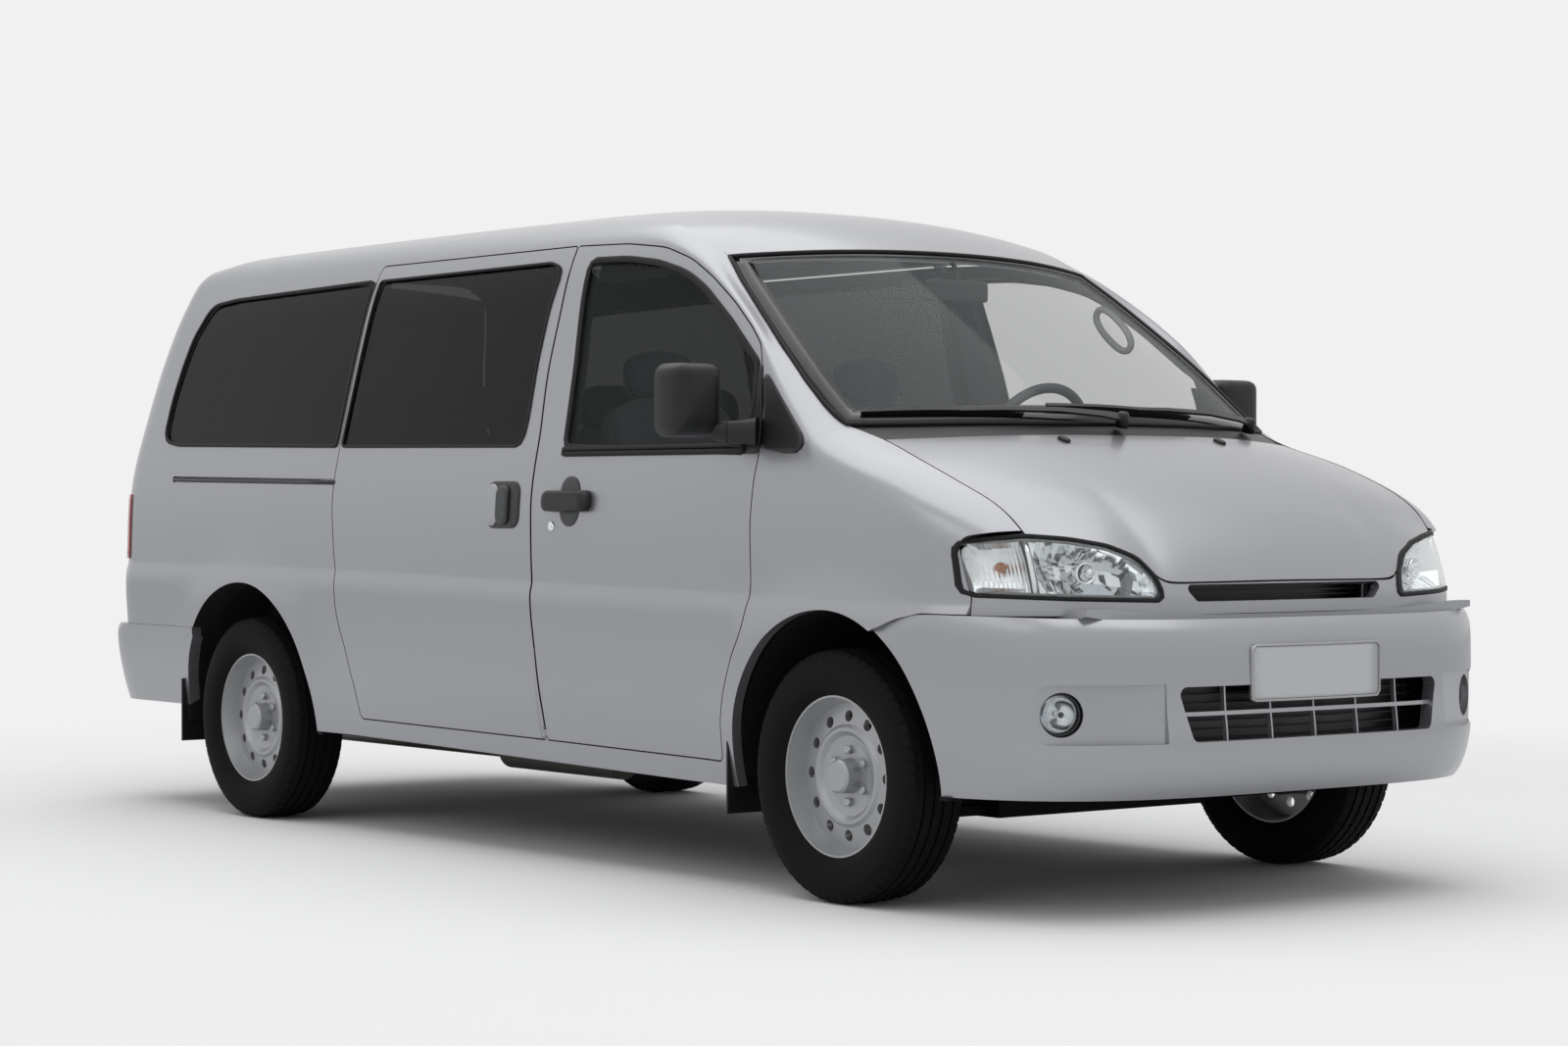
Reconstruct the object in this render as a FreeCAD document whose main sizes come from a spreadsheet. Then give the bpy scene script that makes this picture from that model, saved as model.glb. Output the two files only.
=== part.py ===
# A long five-door minivan: unit body, two hinged front doors, two sliding doors, hood, tailgate, and four
# steel wheels, of which the front pair steers. Millimetres, +X forward, +Y to the left side, +Z up. The origin
# is on the floor, at the centre of the length and of the width.
import FreeCAD
import Part
import Sketcher
import math
import os

Vector = FreeCAD.Vector
document = FreeCAD.newDocument("minivan")

# The driving sizes. Every piece below reads them from this sheet.
SIZES = [
    ("overall_length", 5035.0),
    ("overall_width", 1820.0),
    ("overall_height", 1932.0),
    ("wheel_base", 3080.0),
    ("front_overhang", 880.0),
    ("sill_height", 300.0),
    ("axle_height", 329.5),
    ("tyre_radius", 329.5),
    ("tyre_width", 195.0),
    ("tyre_shoulder", 26.0),
    ("rim_radius", 212.0),
    ("rim_depth", 150.0),
    ("rim_wall", 8.0),
    ("rim_disc", 14.0),
    ("rim_dish", 50.0),
    ("rim_hole_radius", 15.0),
    ("rim_hole_circle", 155.0),
    ("rim_ridge_radius", 120.0),
    ("rim_hole_count", 12.0),
    ("hub_cap_radius", 46.0),
    ("hub_cap_length", 46.0),
    ("wheel_track", 1594.0),
    ("kingpin_track", 1440.0),
    ("arch_radius", 415.0),
    ("arch_rise", 15.5),
    ("rear_arch_radius", 430.0),
    ("flare_width", 125.0),
    ("flare_height", 14.0),
    ("wheel_well_wall", 480.0),
    ("door_thickness", 92.0),
    ("pillar_thickness", 42.0),
    ("door_flange", 12.0),
    ("rail_groove_depth", 9.0),
    ("door_flange_width", 18.0),
    ("panel_thickness", 30.0),
    ("bumper_thickness", 40.0),
    ("glass_thickness", 6.0),
    ("glass_inset", 4.0),
    ("shut_gap", 8.0),
    ("lid_gap", 5.5),
    ("seam_gap", 0.3),
    ("nose_seam", 2.0),
    ("floor_height", 400.0),
    ("floor_width", 1500.0),
    ("rail_spacing", 800.0),
    ("rail_width", 70.0),
    ("rail_height", 110.0),
    ("seat_width", 500.0),
    ("bench_width", 1180.0),
    ("seat_depth", 500.0),
    ("cushion_thickness", 130.0),
    ("back_thickness", 120.0),
    ("steering_wheel_radius", 190.0),
    ("steering_rim_radius", 15.0),
    ("engine_length", 560.0),
    ("engine_width", 520.0),
    ("engine_height", 480.0),
    ("axle_tube_radius", 38.0),
    ("flap_thickness", 8.0),
    ("exhaust_radius", 26.0),
    ("brake_radius", 132.0),
    ("spring_track", 1040.0),
    ("arm_root", 380.0),
    ("strut_track", 1200.0),
    ("rear_floor_height", 520.0),
    ("rear_well_wall", 660.0),
    ("floor_plate", 30.0),
    ("cowl_thickness", 16.0),
    ("tailgate_thickness", 55.0),
    ("fog_lamp_radius", 55.0),
    ("dash_width", 1440.0),
    ("tow_eye_bore", 9.0),
    ("tow_eye_plate", 12.0),
    ("tow_eye_reach", 33.0),
    ("jack_pad_length", 120.0),
    ("jack_pad_width", 60.0),
    ("jack_pad_height", 10.0),
]
sheet = document.addObject("Spreadsheet::Sheet", "Sizes")
for row, (alias, value) in enumerate(SIZES, start=1):
    sheet.set(f"A{row}", alias)
    sheet.set(f"B{row}", str(value))
    sheet.setAlias(f"B{row}", alias)
document.recompute()


def size(alias):
    """The present value of one named cell."""
    return float(sheet.get(alias))


def measure(words):
    """A sum such as "wheel_base*0.5 + 20" worked out with the present sizes."""
    total = 0.0
    sign = 1.0
    for word in str(words).split():
        if word in ("+", "-"):
            sign = 1.0 if word == "+" else -1.0
            continue
        product = 1.0
        for factor in word.split("*"):
            product *= float(factor) if factor.lstrip("-")[0].isdigit() else size(factor)
        total += sign * product
        sign = 1.0
    return total


def formula(words):
    """The same sum as an expression that reads the sheet."""
    terms = []
    for word in str(words).split():
        if word in ("+", "-"):
            terms.append(word)
            continue
        factors = [f if f.lstrip("-")[0].isdigit() else f"Sizes.{f}" for f in word.split("*")]
        terms.append("*".join(factors))
    return " ".join(terms)


# Stations along the drawn body. The outlines below are drawn on the nominal car, and `place` carries a drawn
# point to the real sizes, keeping each station on its axle, sill or roof.
DRAWN_FRONT_AXLE = 1637.5
DRAWN_REAR_AXLE = -1442.5
DRAWN_FRONT_OVERHANG = 880.0
DRAWN_REAR_OVERHANG = 1075.0
DRAWN_HALF_WIDTH = 910.0
DRAWN_SILL = 300.0
DRAWN_HEIGHT = 1932.0

FRONT_AXLE = "overall_length*0.5 - front_overhang"
REAR_AXLE = "overall_length*0.5 - front_overhang - wheel_base"
front_axle_x = measure(FRONT_AXLE)
rear_axle_x = measure(REAR_AXLE)
rear_overhang = size("overall_length") - size("front_overhang") - size("wheel_base")


def along(x):
    """Real length station of a drawn one."""
    if x >= DRAWN_FRONT_AXLE:
        return front_axle_x + (x - DRAWN_FRONT_AXLE) * size("front_overhang") / DRAWN_FRONT_OVERHANG
    if x <= DRAWN_REAR_AXLE:
        return rear_axle_x + (x - DRAWN_REAR_AXLE) * rear_overhang / DRAWN_REAR_OVERHANG
    share = (x - DRAWN_REAR_AXLE) / (DRAWN_FRONT_AXLE - DRAWN_REAR_AXLE)
    return rear_axle_x + share * size("wheel_base")


def across(y):
    """Real half-width station of a drawn one."""
    return y * size("overall_width") * 0.5 / DRAWN_HALF_WIDTH


def up(z):
    """Real height of a drawn one."""
    share = (z - DRAWN_SILL) / (DRAWN_HEIGHT - DRAWN_SILL)
    return size("sill_height") + share * (size("overall_height") - size("sill_height"))


def place(x, y, z):
    return Vector(along(x), across(y), up(z))


def smooth(table, at, column=1):
    """Value of a table at a station, on a curve that never overshoots between two rows."""
    if at <= table[0][0]:
        return table[0][column]
    if at >= table[-1][0]:
        return table[-1][column]
    slopes = []
    for low, high in zip(table, table[1:]):
        slopes.append((high[column] - low[column]) / (high[0] - low[0]))
    index = 0
    while at > table[index + 1][0]:
        index += 1

    def tangent(row):
        if row == 0:
            return slopes[0]
        if row == len(slopes):
            return slopes[-1]
        before, after = slopes[row - 1], slopes[row]
        if before * after <= 0:
            return 0.0
        return 2.0 * before * after / (before + after)

    low, high = table[index], table[index + 1]
    span = high[0] - low[0]
    u = (at - low[0]) / span
    rise = high[column] - low[column]
    start, end = tangent(index) * span, tangent(index + 1) * span
    return (low[column] + u * start + u * u * (3 * rise - 2 * start - end)
            + u * u * u * (start + end - 2 * rise))


# The body side: half width by height, and the lines that run along it.
SIDE_PROFILE = [(240, 850), (300, 865), (380, 877), (480, 894), (620, 904), (725, 910), (755, 909.5),
                (793, 899.2), (798, 898.6), (950, 896), (1130, 885), (1200, 868), (1500, 800), (1720, 742),
                (1800, 700), (1860, 620), (1900, 500)]
CREASE = [(-2300, 830), (-849, 823), (243, 806), (1315, 791), (1700, 785)]
SILL_LINE = [(-2300, 312), (-901, 306), (277, 289), (1205, 276), (2200, 276)]
DOOR_TOP = [(-2400, 1765), (-2116, 1777), (-1567, 1794), (-882, 1793), (-356, 1795), (217, 1793), (488, 1782),
            (692, 1760), (842, 1717), (962, 1660), (1086, 1586), (1187, 1512), (1241, 1464), (1300, 1392),
            (1380, 1300), (1472, 1215), (1568, 1130), (1677, 1090), (1870, 1030), (2015, 975), (2112, 930),
            (2175, 895), (2260, 850)]
# The upper edge of the side: the roof seam, then the windshield's edge, then the hood's side (x, y, z).
UPPER_EDGE = [(-2400, 640, 1830), (-2060, 600, 1868), (-1768, 552, 1883), (-833, 531, 1890), (196, 584, 1872),
              (652, 655, 1828), (790, 668, 1782), (900, 662, 1724), (1003, 697, 1651), (1120, 724, 1565),
              (1259, 754, 1461), (1380, 772, 1366), (1472, 776, 1292), (1531, 779, 1249), (1568, 763, 1234),
              (1677, 741, 1199), (1870, 771, 1140), (2015, 774, 1086), (2112, 762, 1044), (2175, 753, 1004),
              (2222, 742, 956), (2300, 742, 900)]
EDGE_SLOPE = [(-2400, 0.3), (652, 0.35), (900, 0.5), (1472, 0.5), (1568, 0.25), (2300, 0.25)]
ROOF_CENTRE = [(-2400, 1850), (-2222, 1866), (-1768, 1908), (-833, 1929), (0, 1932), (400, 1916), (652, 1884),
               (766, 1860), (900, 1816), (1033, 1754)]
REAR_FACE = [(250, -2412), (1100, -2412), (1300, -2386), (1500, -2350), (1770, -2246), (1850, -2215)]
REAR_CORNER = [(250, 180), (1500, 180), (1850, 150)]
FENDER_NOSE_START = 1937.5
FENDER_NOSE_LENGTH = 470.0
BUMPER_NOSE_START = 1987.5
BUMPER_NOSE_LENGTH = 510.0


def nose_taper(x, z):
    """How far the sides close in ahead of the front axle, as a share of the half width."""
    upper = max(0.0, min(0.999, (x - FENDER_NOSE_START) / FENDER_NOSE_LENGTH))
    lower = max(0.0, min(0.999, (x - BUMPER_NOSE_START) / BUMPER_NOSE_LENGTH))
    upper_share = (1.0 - upper ** 2.5) ** (1.0 / 3.2)
    lower_share = (1.0 - lower ** 2.0) ** 0.25
    blend = max(0.0, min(1.0, (z - 690.0) / 90.0))
    return lower_share + (upper_share - lower_share) * blend


def flare(x, z):
    """How far the wheel-arch flares stand out of the side."""
    stand = 0.0
    for axle_x, radius in ((front_axle_x, size("arch_radius")), (rear_axle_x, size("rear_arch_radius"))):
        distance = math.hypot(along(x) - axle_x, up(z) - size("axle_height") - size("arch_rise"))
        share = (distance - radius) / size("flare_width")
        if share < 1.0:
            share = max(0.0, share)
            stand = max(stand, size("flare_height") * (1.0 - share * share * (3.0 - 2.0 * share)))
    return stand


def side_width(x, z):
    """Drawn half width of the body side."""
    shift = (smooth(CREASE, x) - 795.0) * max(0.0, min(1.0, (1000.0 - z) / 150.0))
    width = smooth(SIDE_PROFILE, z - shift)
    share = max(0.0, min(1.0, (900.0 - z) / 200.0))
    return (width + flare(x, z) * (0.3 + 0.7 * share)) * nose_taper(x, z)


def shoulder(x, share):
    """Point of the rounded band between the door tops and the upper edge (share 0 to 1)."""
    low_z = smooth(DOOR_TOP, x)
    low_y = side_width(x, low_z)
    lean = (side_width(x, low_z) - side_width(x, low_z - 40.0)) / 40.0
    high_y = smooth(UPPER_EDGE, x, 1)
    high_z = smooth(UPPER_EDGE, x, 2)
    slope = smooth(EDGE_SLOPE, x)
    reach = 0.42 * math.hypot(high_y - low_y, high_z - low_z)
    start = Vector(lean, 1.0).normalize() * reach
    end = Vector(1.0, -slope).normalize() * reach
    points = [Vector(low_y, low_z), Vector(low_y, low_z) + start, Vector(high_y, high_z) + end,
              Vector(high_y, high_z)]
    rest = 1.0 - share
    weights = [rest ** 3, 3 * rest * rest * share, 3 * rest * share * share, share ** 3]
    return sum((p * w for p, w in zip(points, weights)), Vector())


LOWER_ROWS = [0.0, 0.12, 0.25, 0.4, 0.55, 0.7, 0.82, 0.9]
CREASE_ROWS = [-40.0, -22.0, -9.0, -3.0, 2.0, 10.0]
UPPER_ROWS = [0.06, 0.16, 0.27, 0.38, 0.46, 0.54, 0.66, 0.78, 0.9, 1.0]
SHOULDER_ROWS = [0.16, 0.32, 0.5, 0.68, 0.84, 1.0]


def side_section(x):
    """Drawn (y, z) points of the side at one station, from the sill up to the upper edge."""
    sill = smooth(SILL_LINE, x)
    crease = smooth(CREASE, x)
    top = smooth(DOOR_TOP, x)
    heights = [sill + (crease - 45.0 - sill) * share for share in LOWER_ROWS]
    heights += [crease + rise for rise in CREASE_ROWS]
    heights += [crease + 10.0 + (top - crease - 10.0) * share for share in UPPER_ROWS]
    points = [(side_width(x, z), z) for z in heights]
    points += [(p.x, p.y) for p in (shoulder(x, share) for share in SHOULDER_ROWS)]
    return points


CORNER_ANGLES = [90.0, 78.0, 66.0, 54.0, 42.0, 30.0, 18.0, 8.0]
CORNER_STATION = -2222
BLEND_STATION = -1840
BLEND_SHARES = [0.0, 0.2, 0.4, 0.6, 0.8]
SIDE_STATIONS = [-1840, -1750, -1660, -1570, -1480, -1390, -1300, -1210, -1120, -1030, -940, -840, -720, -600,
                 -460, -300, -120, 80, 280, 460, 600, 700, 790, 850, 900, 950, 1003, 1060, 1120, 1180, 1220,
                 1260, 1300, 1340, 1380, 1425, 1472, 1505, 1535, 1568, 1610, 1677, 1740, 1800, 1870, 1940,
                 2015, 2065, 2112, 2145, 2175, 2200, 2222]


def corner_column(angle):
    """The side's points where it turns round the rear corner, at one angle of the turn."""
    column = []
    for y, z in side_section(CORNER_STATION):
        radius = smooth(REAR_CORNER, z)
        x = smooth(REAR_FACE, z) + radius * (1.0 - math.sin(math.radians(angle)))
        column.append((x, y - radius * (1.0 - math.cos(math.radians(angle))), z))
    return column


def blend_column(share):
    """The side's points between the raked rear corner (0) and the first upright station (1)."""
    column = []
    for y, z in side_section(CORNER_STATION + (BLEND_STATION - CORNER_STATION) * share):
        corner_end = smooth(REAR_FACE, z) + smooth(REAR_CORNER, z)
        column.append((corner_end + (BLEND_STATION - corner_end) * share, y, z))
    return column


def rear_columns():
    return [corner_column(angle) for angle in CORNER_ANGLES] + [blend_column(share) for share in BLEND_SHARES]


def side_columns(low, high):
    """Columns of drawn points of the right-hand side's skin between two stations."""
    columns = rear_columns() if low < BLEND_STATION else []
    for station in SIDE_STATIONS:
        if low <= station <= high:
            columns.append([(station, y, z) for y, z in side_section(station)])
    return columns


# Every skin is offset towards one of two inner cores, so that panels which share an edge share its whole face.
CABIN_CORE = ((-1900, 1500), (0, 330), (620, 1250))
NOSE_CORE = ((-400, 2030), (0, 480), (300, 640))


def inward(point, core):
    """Unit vector from a real point towards the nearest place of a drawn core."""
    (x0, x1), (y0, y1), (z0, z1) = core
    x = min(max(point.x, along(x0)), along(x1))
    y = math.copysign(min(abs(point.y), across(y1)), point.y)
    z = min(max(point.z, up(z0)), up(z1))
    return (Vector(x, y, z) - point).normalize()


def knots(count, degree):
    """Even knots, and how often each one counts, for a clamped curve of so many poles."""
    spans = count - degree
    return [float(k) for k in range(spans + 1)], [degree + 1] + [1] * (spans - 1) + [degree + 1]


def surface(grid):
    """Smooth surface drawn in by a net of real points, which it follows without waves."""
    degree_u, degree_v = min(3, len(grid) - 1), min(3, len(grid[0]) - 1)
    knots_u, times_u = knots(len(grid), degree_u)
    knots_v, times_v = knots(len(grid[0]), degree_v)
    skin = Part.BSplineSurface()
    skin.buildFromPolesMultsKnots(grid, times_u, times_v, knots_u, knots_v, False, False, degree_u, degree_v)
    return skin


def thick_skin(columns, depth, core, start=0.0, side=-1):
    """Solid between two offsets of a grid of drawn points. Depth may be a number or a function of height."""
    outer, inner = [], []
    for column in columns:
        near, far = [], []
        for x, y, z in column:
            point = place(x, side * y, z)
            way = inward(point, core)
            reach = depth(z) if callable(depth) else depth
            near.append(point + way * start)
            far.append(point + way * reach)
        outer.append(near)
        inner.append(far)
    outer_skin, inner_skin = surface(outer), surface(inner)
    faces = [outer_skin.toShape(), inner_skin.toShape()]
    u0, u1, v0, v1 = outer_skin.bounds()
    a0, a1, b0, b1 = inner_skin.bounds()
    outer_edges = [outer_skin.uIso(u0), outer_skin.uIso(u1), outer_skin.vIso(v0), outer_skin.vIso(v1)]
    inner_edges = [inner_skin.uIso(a0), inner_skin.uIso(a1), inner_skin.vIso(b0), inner_skin.vIso(b1)]
    for first, second in zip(outer_edges, inner_edges):
        faces.append(Part.makeRuledSurface(first.toShape(), second.toShape()))
    shell = Part.makeShell(faces)
    shell.sewShape()
    solid = Part.makeSolid(shell)
    if solid.Volume < 0:
        solid.reverse()
    return solid


def rounded_wire(points, radii, grow=0.0):
    """Closed wire in the XZ plane through real corners, each rounded, the whole grown outwards."""
    count = len(points)
    area = sum(points[i - 1].x * points[i].z - points[i].x * points[i - 1].z for i in range(count))
    turn = 1.0 if area > 0 else -1.0
    shifted = []
    for i, point in enumerate(points):
        before = (point - points[i - 1]).normalize()
        after = (points[(i + 1) % count] - point).normalize()
        bisector = Vector(before.z + after.z, 0, -before.x - after.x) * turn
        shifted.append(point + bisector * (grow * 2.0 / bisector.dot(bisector)))
    arcs, starts, ends = [], [], []
    for i, point in enumerate(shifted):
        before = shifted[i - 1] - point
        after = shifted[(i + 1) % count] - point
        convex = before.cross(after).y * turn > 0
        half_angle = before.getAngle(after) / 2.0
        wished = max(1.0, radii[i] + (grow if convex else -grow))
        reach = min(wished / math.tan(half_angle), 0.49 * before.Length, 0.49 * after.Length)
        radius = reach * math.tan(half_angle)
        toward_centre = (Vector(before).normalize() + Vector(after).normalize()).normalize()
        centre = point + toward_centre * (radius / math.sin(half_angle))
        starts.append(point + Vector(before).normalize() * reach)
        ends.append(point + Vector(after).normalize() * reach)
        arcs.append(Part.Arc(starts[-1], centre - toward_centre * radius, ends[-1]).toShape())
    ring = []
    for i, arc in enumerate(arcs):
        ring.append(arc)
        following = starts[(i + 1) % count]
        if (following - ends[i]).Length > 0.01:
            ring.append(Part.makeLine(ends[i], following))
    return Part.Wire(ring)


def side_prism(corners, grow=0.0, side=-1):
    """Prism of a side-view outline (x, z, radius) across one half of the body."""
    points = [place(x, 0, z) for x, z, _ in corners]
    wire = rounded_wire(points, [radius for _, _, radius in corners], grow)
    return Part.Face(wire).extrude(Vector(0, side * size("overall_width"), 0))


def front_prism(corners, x0, x1, grow=0.0):
    """Prism along X, between two drawn stations, of a front-view outline (y, z, radius)."""
    points = [Vector(across(y), 0, up(z)) for y, z, _ in corners]
    face = Part.Face(rounded_wire(points, [radius for _, _, radius in corners], grow))
    face.rotate(Vector(0, 0, 0), Vector(0, 0, 1), 90.0)
    face.translate(Vector(along(x0), 0, 0))
    return face.extrude(Vector(along(x1) - along(x0), 0, 0))


def mirrored(corners):
    """A front-view outline of the left side, drawn for the right one."""
    return [(-y, z, radius) for y, z, radius in reversed(corners)]


def slab(x0, x1, y0, y1, z0, z1):
    """Real axis-parallel block between drawn corners."""
    low, high = place(x0, y0, z0), place(x1, y1, z1)
    return Part.makeBox(high.x - low.x, high.y - low.y, high.z - low.z, low)


# Outlines in the side view: x, z and corner radius. The two doors share one shut line, from the roof rail down.
DOOR_SPLIT = [(236, 1597, 900), (230, 1412, 900), (253, 1222, 500), (249, 1040, 600), (259, 874, 500),
              (280, 660, 500), (298, 460, 300)]
FRONT_DOOR = [(1266, 1405, 30), (1241, 1464, 60), (1187, 1512, 300), (1086, 1586, 600), (962, 1660, 600),
              (842, 1717, 400), (692, 1760, 500), (488, 1782, 800), (223, 1791, 14)] + DOOR_SPLIT + [
              (304, 349, 14), (1166, 338, 24), (1173, 440, 250), (1199, 528, 300),
              (1241, 625, 300), (1292, 700, 250), (1316, 800, 400), (1305, 980, 600), (1313, 1090, 400),
              (1324, 1180, 300), (1300, 1300, 300)]
SLIDING_DOOR = [(223, 1791, 14), (-882, 1792, 22), (-885, 1206, 900), (-889, 1027, 600), (-869, 880, 300),
                (-851, 800, 300), (-838, 673, 300), (-794, 574, 300), (-764, 470, 300), (-745, 358, 24),
                (304, 349, 14)] + DOOR_SPLIT[::-1]
RAIL_GROOVE = [(-1974, 1127, 8), (-870, 1111, 1), (-870, 1092, 1), (-1974, 1107, 8)]
FRONT_WINDOW = [(392, 1192, 30), (370, 1435, 700), (340, 1622, 600), (326, 1743, 26), (520, 1737, 900),
                (680, 1717, 500), (825, 1682, 500), (933, 1632, 500), (1085, 1533, 700), (1246, 1412, 40),
                (1262, 1320, 200), (1262, 1170, 20)]
SLIDING_WINDOW = [(-852, 1742, 14), (120, 1746, 60), (190, 1728, 40), (174, 1600, 600), (168, 1445, 600),
                  (176, 1270, 400), (164, 1200, 40), (-871, 1213, 14)]
QUARTER_WINDOW = [(-892, 1743, 14), (-1378, 1734, 900), (-1778, 1726, 600), (-1940, 1712, 90),
                  (-2020, 1600, 160), (-2052, 1502, 500), (-2078, 1390, 400), (-2086, 1250, 50),
                  (-1981, 1233, 300), (-902, 1215, 14)]


def part_feature(label, shape):
    """A document object of its own for a finished shape."""
    feature = document.addObject("Part::Feature", label)
    feature.Label = label
    feature.Shape = shape
    return feature


pieces = {}


def keep(label, shape):
    pieces[label] = part_feature(label, shape)


def clean(shape):
    """The shape's solids, as one solid where there is one."""
    solids = shape.Solids
    return solids[0] if len(solids) == 1 else Part.makeCompound(solids)


def wall_depth(z):
    """Thickness of the side's wall: full at the door, thin beside the windows."""
    share = max(0.0, min(1.0, (z - 1120.0) / 90.0))
    full, thin = size("door_thickness"), size("pillar_thickness")
    return full + (thin - full) * share * share * (3.0 - 2.0 * share)


SIDE_NAMES = ((-1, "right"), (1, "left"))


def arch_cylinder(axle_x, radius, side, inner):
    """Round wheel opening on one side, from an inner half width outwards."""
    centre = Vector(axle_x, side * inner, size("axle_height") + size("arch_rise"))
    return Part.makeCylinder(radius, size("overall_width"), centre, Vector(0, side, 0))


FENDER_ZONE = [(1168, 200, 1), (1168, 700, 1), (1322, 1166, 1), (1505, 1186, 20), (1568, 1236, 1),
               (2400, 1260, 1), (2400, 200, 1)]
FENDER_REAR = 1160
FENDER_FRONT = 2222
NOSE_SEAM = [(1700, 640, 1), (1836, 711, 60), (1924, 742, 200), (2013, 759, 120), (2300, 757, 1),
             (2300, 200, 1), (1700, 200, 1)]
LAMP_OUTLINE_SIDE = [(2112, 948, 30), (2154, 800, 20), (2150, 740, 1), (2500, 740, 1), (2500, 1000, 1),
                     (2190, 962, 30)]


def side_body(side, name):
    """Quarter panel, sill, roof rail and windshield pillar of one side, in one stamping."""
    columns = side_columns(-3000, 1568)
    shell = thick_skin(columns, wall_depth, CABIN_CORE, side=side)
    half_gap = size("shut_gap") * 0.5
    shell = shell.cut(side_prism(FRONT_DOOR, 0.0, side))
    shell = shell.cut(side_prism(SLIDING_DOOR, 0.0, side))
    shell = shell.cut(side_prism(QUARTER_WINDOW, 0.0, side))
    shell = shell.cut(arch_cylinder(rear_axle_x, size("rear_arch_radius"), side, 0.0))
    shell = shell.cut(slab(-2600, -1440, min(0, side * 1200), max(0, side * 1200), 100, 618))
    shell = shell.cut(side_prism(FENDER_ZONE, 0.0, side))
    groove = thick_skin(side_columns(-2200, -700), size("rail_groove_depth"), CABIN_CORE, start=-3.0, side=side)
    shell = shell.cut(groove.common(side_prism(RAIL_GROOVE, 0.0, side)))
    keep(f"side_{name}", clean(shell))


def door(side, name, outline, window, label):
    """Hinged or sliding door: an outer flange, a narrower inner case, and the window cut through both."""
    low, high = min(c[0] for c in outline) - 200, max(c[0] for c in outline) + 120
    columns = side_columns(low, high)
    gap = size("shut_gap")
    flange = size("door_flange")
    outer = thick_skin(columns, flange, CABIN_CORE, side=side)
    outer = outer.common(side_prism(outline, -gap * 0.5, side))
    case = thick_skin(columns, wall_depth, CABIN_CORE, start=flange * 0.6, side=side)
    case = case.common(side_prism(outline, -gap * 0.5 - size("door_flange_width"), side))
    body = outer.fuse(case).cut(side_prism(window, 0.0, side))
    keep(f"{label}_{name}", max(body.Solids, key=lambda solid: solid.Volume))


def side_glass(side, outline, low, high):
    """Pane that fills a side window, seated in it all round."""
    columns = side_columns(low, high)
    inset = size("glass_inset")
    pane = thick_skin(columns, inset + size("glass_thickness"), CABIN_CORE, start=inset, side=side)
    return pane.common(side_prism(outline, -size("seam_gap"), side))


for side, name in SIDE_NAMES:
    side_body(side, name)
    door(side, name, FRONT_DOOR, FRONT_WINDOW, "door")
    door(side, name, SLIDING_DOOR, SLIDING_WINDOW, "sliding_door")
    keep(f"door_glass_{name}", side_glass(side, FRONT_WINDOW, 200, 1400))
keep("side_glass", Part.makeCompound([side_glass(side, outline, low, high) for side, _ in SIDE_NAMES
     for outline, low, high in ((SLIDING_WINDOW, -1100, 400), (QUARTER_WINDOW, -2200, -700))]))


def fender(side, name):
    """Front fender, from the door to the lamp and from the hood to the arch."""
    columns = side_columns(FENDER_REAR - 60, FENDER_FRONT)
    shell = thick_skin(columns, size("panel_thickness"), NOSE_CORE, side=side)
    shell = shell.cut(side_prism(FRONT_DOOR, 0.0, side))
    shell = shell.cut(arch_cylinder(front_axle_x, size("arch_radius"), side, 0.0))
    shell = shell.common(side_prism(FENDER_ZONE, -size("seam_gap"), side))
    shell = shell.cut(side_prism(NOSE_SEAM, size("nose_seam"), side))
    shell = shell.cut(side_prism(LAMP_OUTLINE_SIDE, size("nose_seam"), side))
    keep(f"fender_{name}", clean(shell))


for side, name in SIDE_NAMES:
    fender(side, name)


# The roof: its rear edge lies over the tailgate and its front edge along the windshield.
WINDSHIELD_TOP_CENTRE = 1033.0
WINDSHIELD_TOP_CORNER = 900.0
ACROSS_SHARES = [-1.0, -0.9, -0.75, -0.55, -0.3, 0.0, 0.3, 0.55, 0.75, 0.9, 1.0]


def roof_height(x, y):
    edge_y, edge_z = smooth(UPPER_EDGE, x, 1), smooth(UPPER_EDGE, x, 2)
    share = min(1.0, abs(y) / edge_y)
    return edge_z + (smooth(ROOF_CENTRE, x) - edge_z) * (1.0 - share ** 2.4)


def windshield_top(share):
    """Drawn point of the edge between roof and windshield, from -1 at the right to 1 at the left."""
    corner_y = smooth(UPPER_EDGE, WINDSHIELD_TOP_CORNER, 1)
    y = share * corner_y
    x = WINDSHIELD_TOP_CENTRE + (WINDSHIELD_TOP_CORNER - WINDSHIELD_TOP_CENTRE) * share * share
    return x, y, roof_height(x, y) if abs(share) < 1.0 else smooth(UPPER_EDGE, WINDSHIELD_TOP_CORNER, 2)


def roof_columns():
    columns = []
    seam = size("seam_gap")
    for side_column in rear_columns():
        x, y, z = side_column[-1]
        columns.append([(x, (y - seam) * share, roof_height(x, y * share) if abs(share) < 1 else z)
                        for share in ACROSS_SHARES])
    ends = [windshield_top(share) for share in ACROSS_SHARES]
    first = BLEND_STATION
    for station in SIDE_STATIONS:
        if station > WINDSHIELD_TOP_CORNER:
            break
        column = []
        for share, (end_x, _, _) in zip(ACROSS_SHARES, ends):
            reach = max(0.0, (station - first) / (WINDSHIELD_TOP_CORNER - first))
            x = station + (end_x - WINDSHIELD_TOP_CORNER) * reach ** 6
            y = share * smooth(UPPER_EDGE, station, 1)
            z = smooth(UPPER_EDGE, station, 2) if abs(share) == 1.0 else roof_height(x, y)
            column.append((x, y - share * seam, z))
        columns.append(column)
    return columns


roof = thick_skin(roof_columns(), size("panel_thickness"), CABIN_CORE, side=1)
keep("roof", roof)

# The windshield, between the pillars.
GLASS_FOOT_CENTRE = (1800.0, 1246.0)
GLASS_FOOT_CORNER = 1560.0


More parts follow.
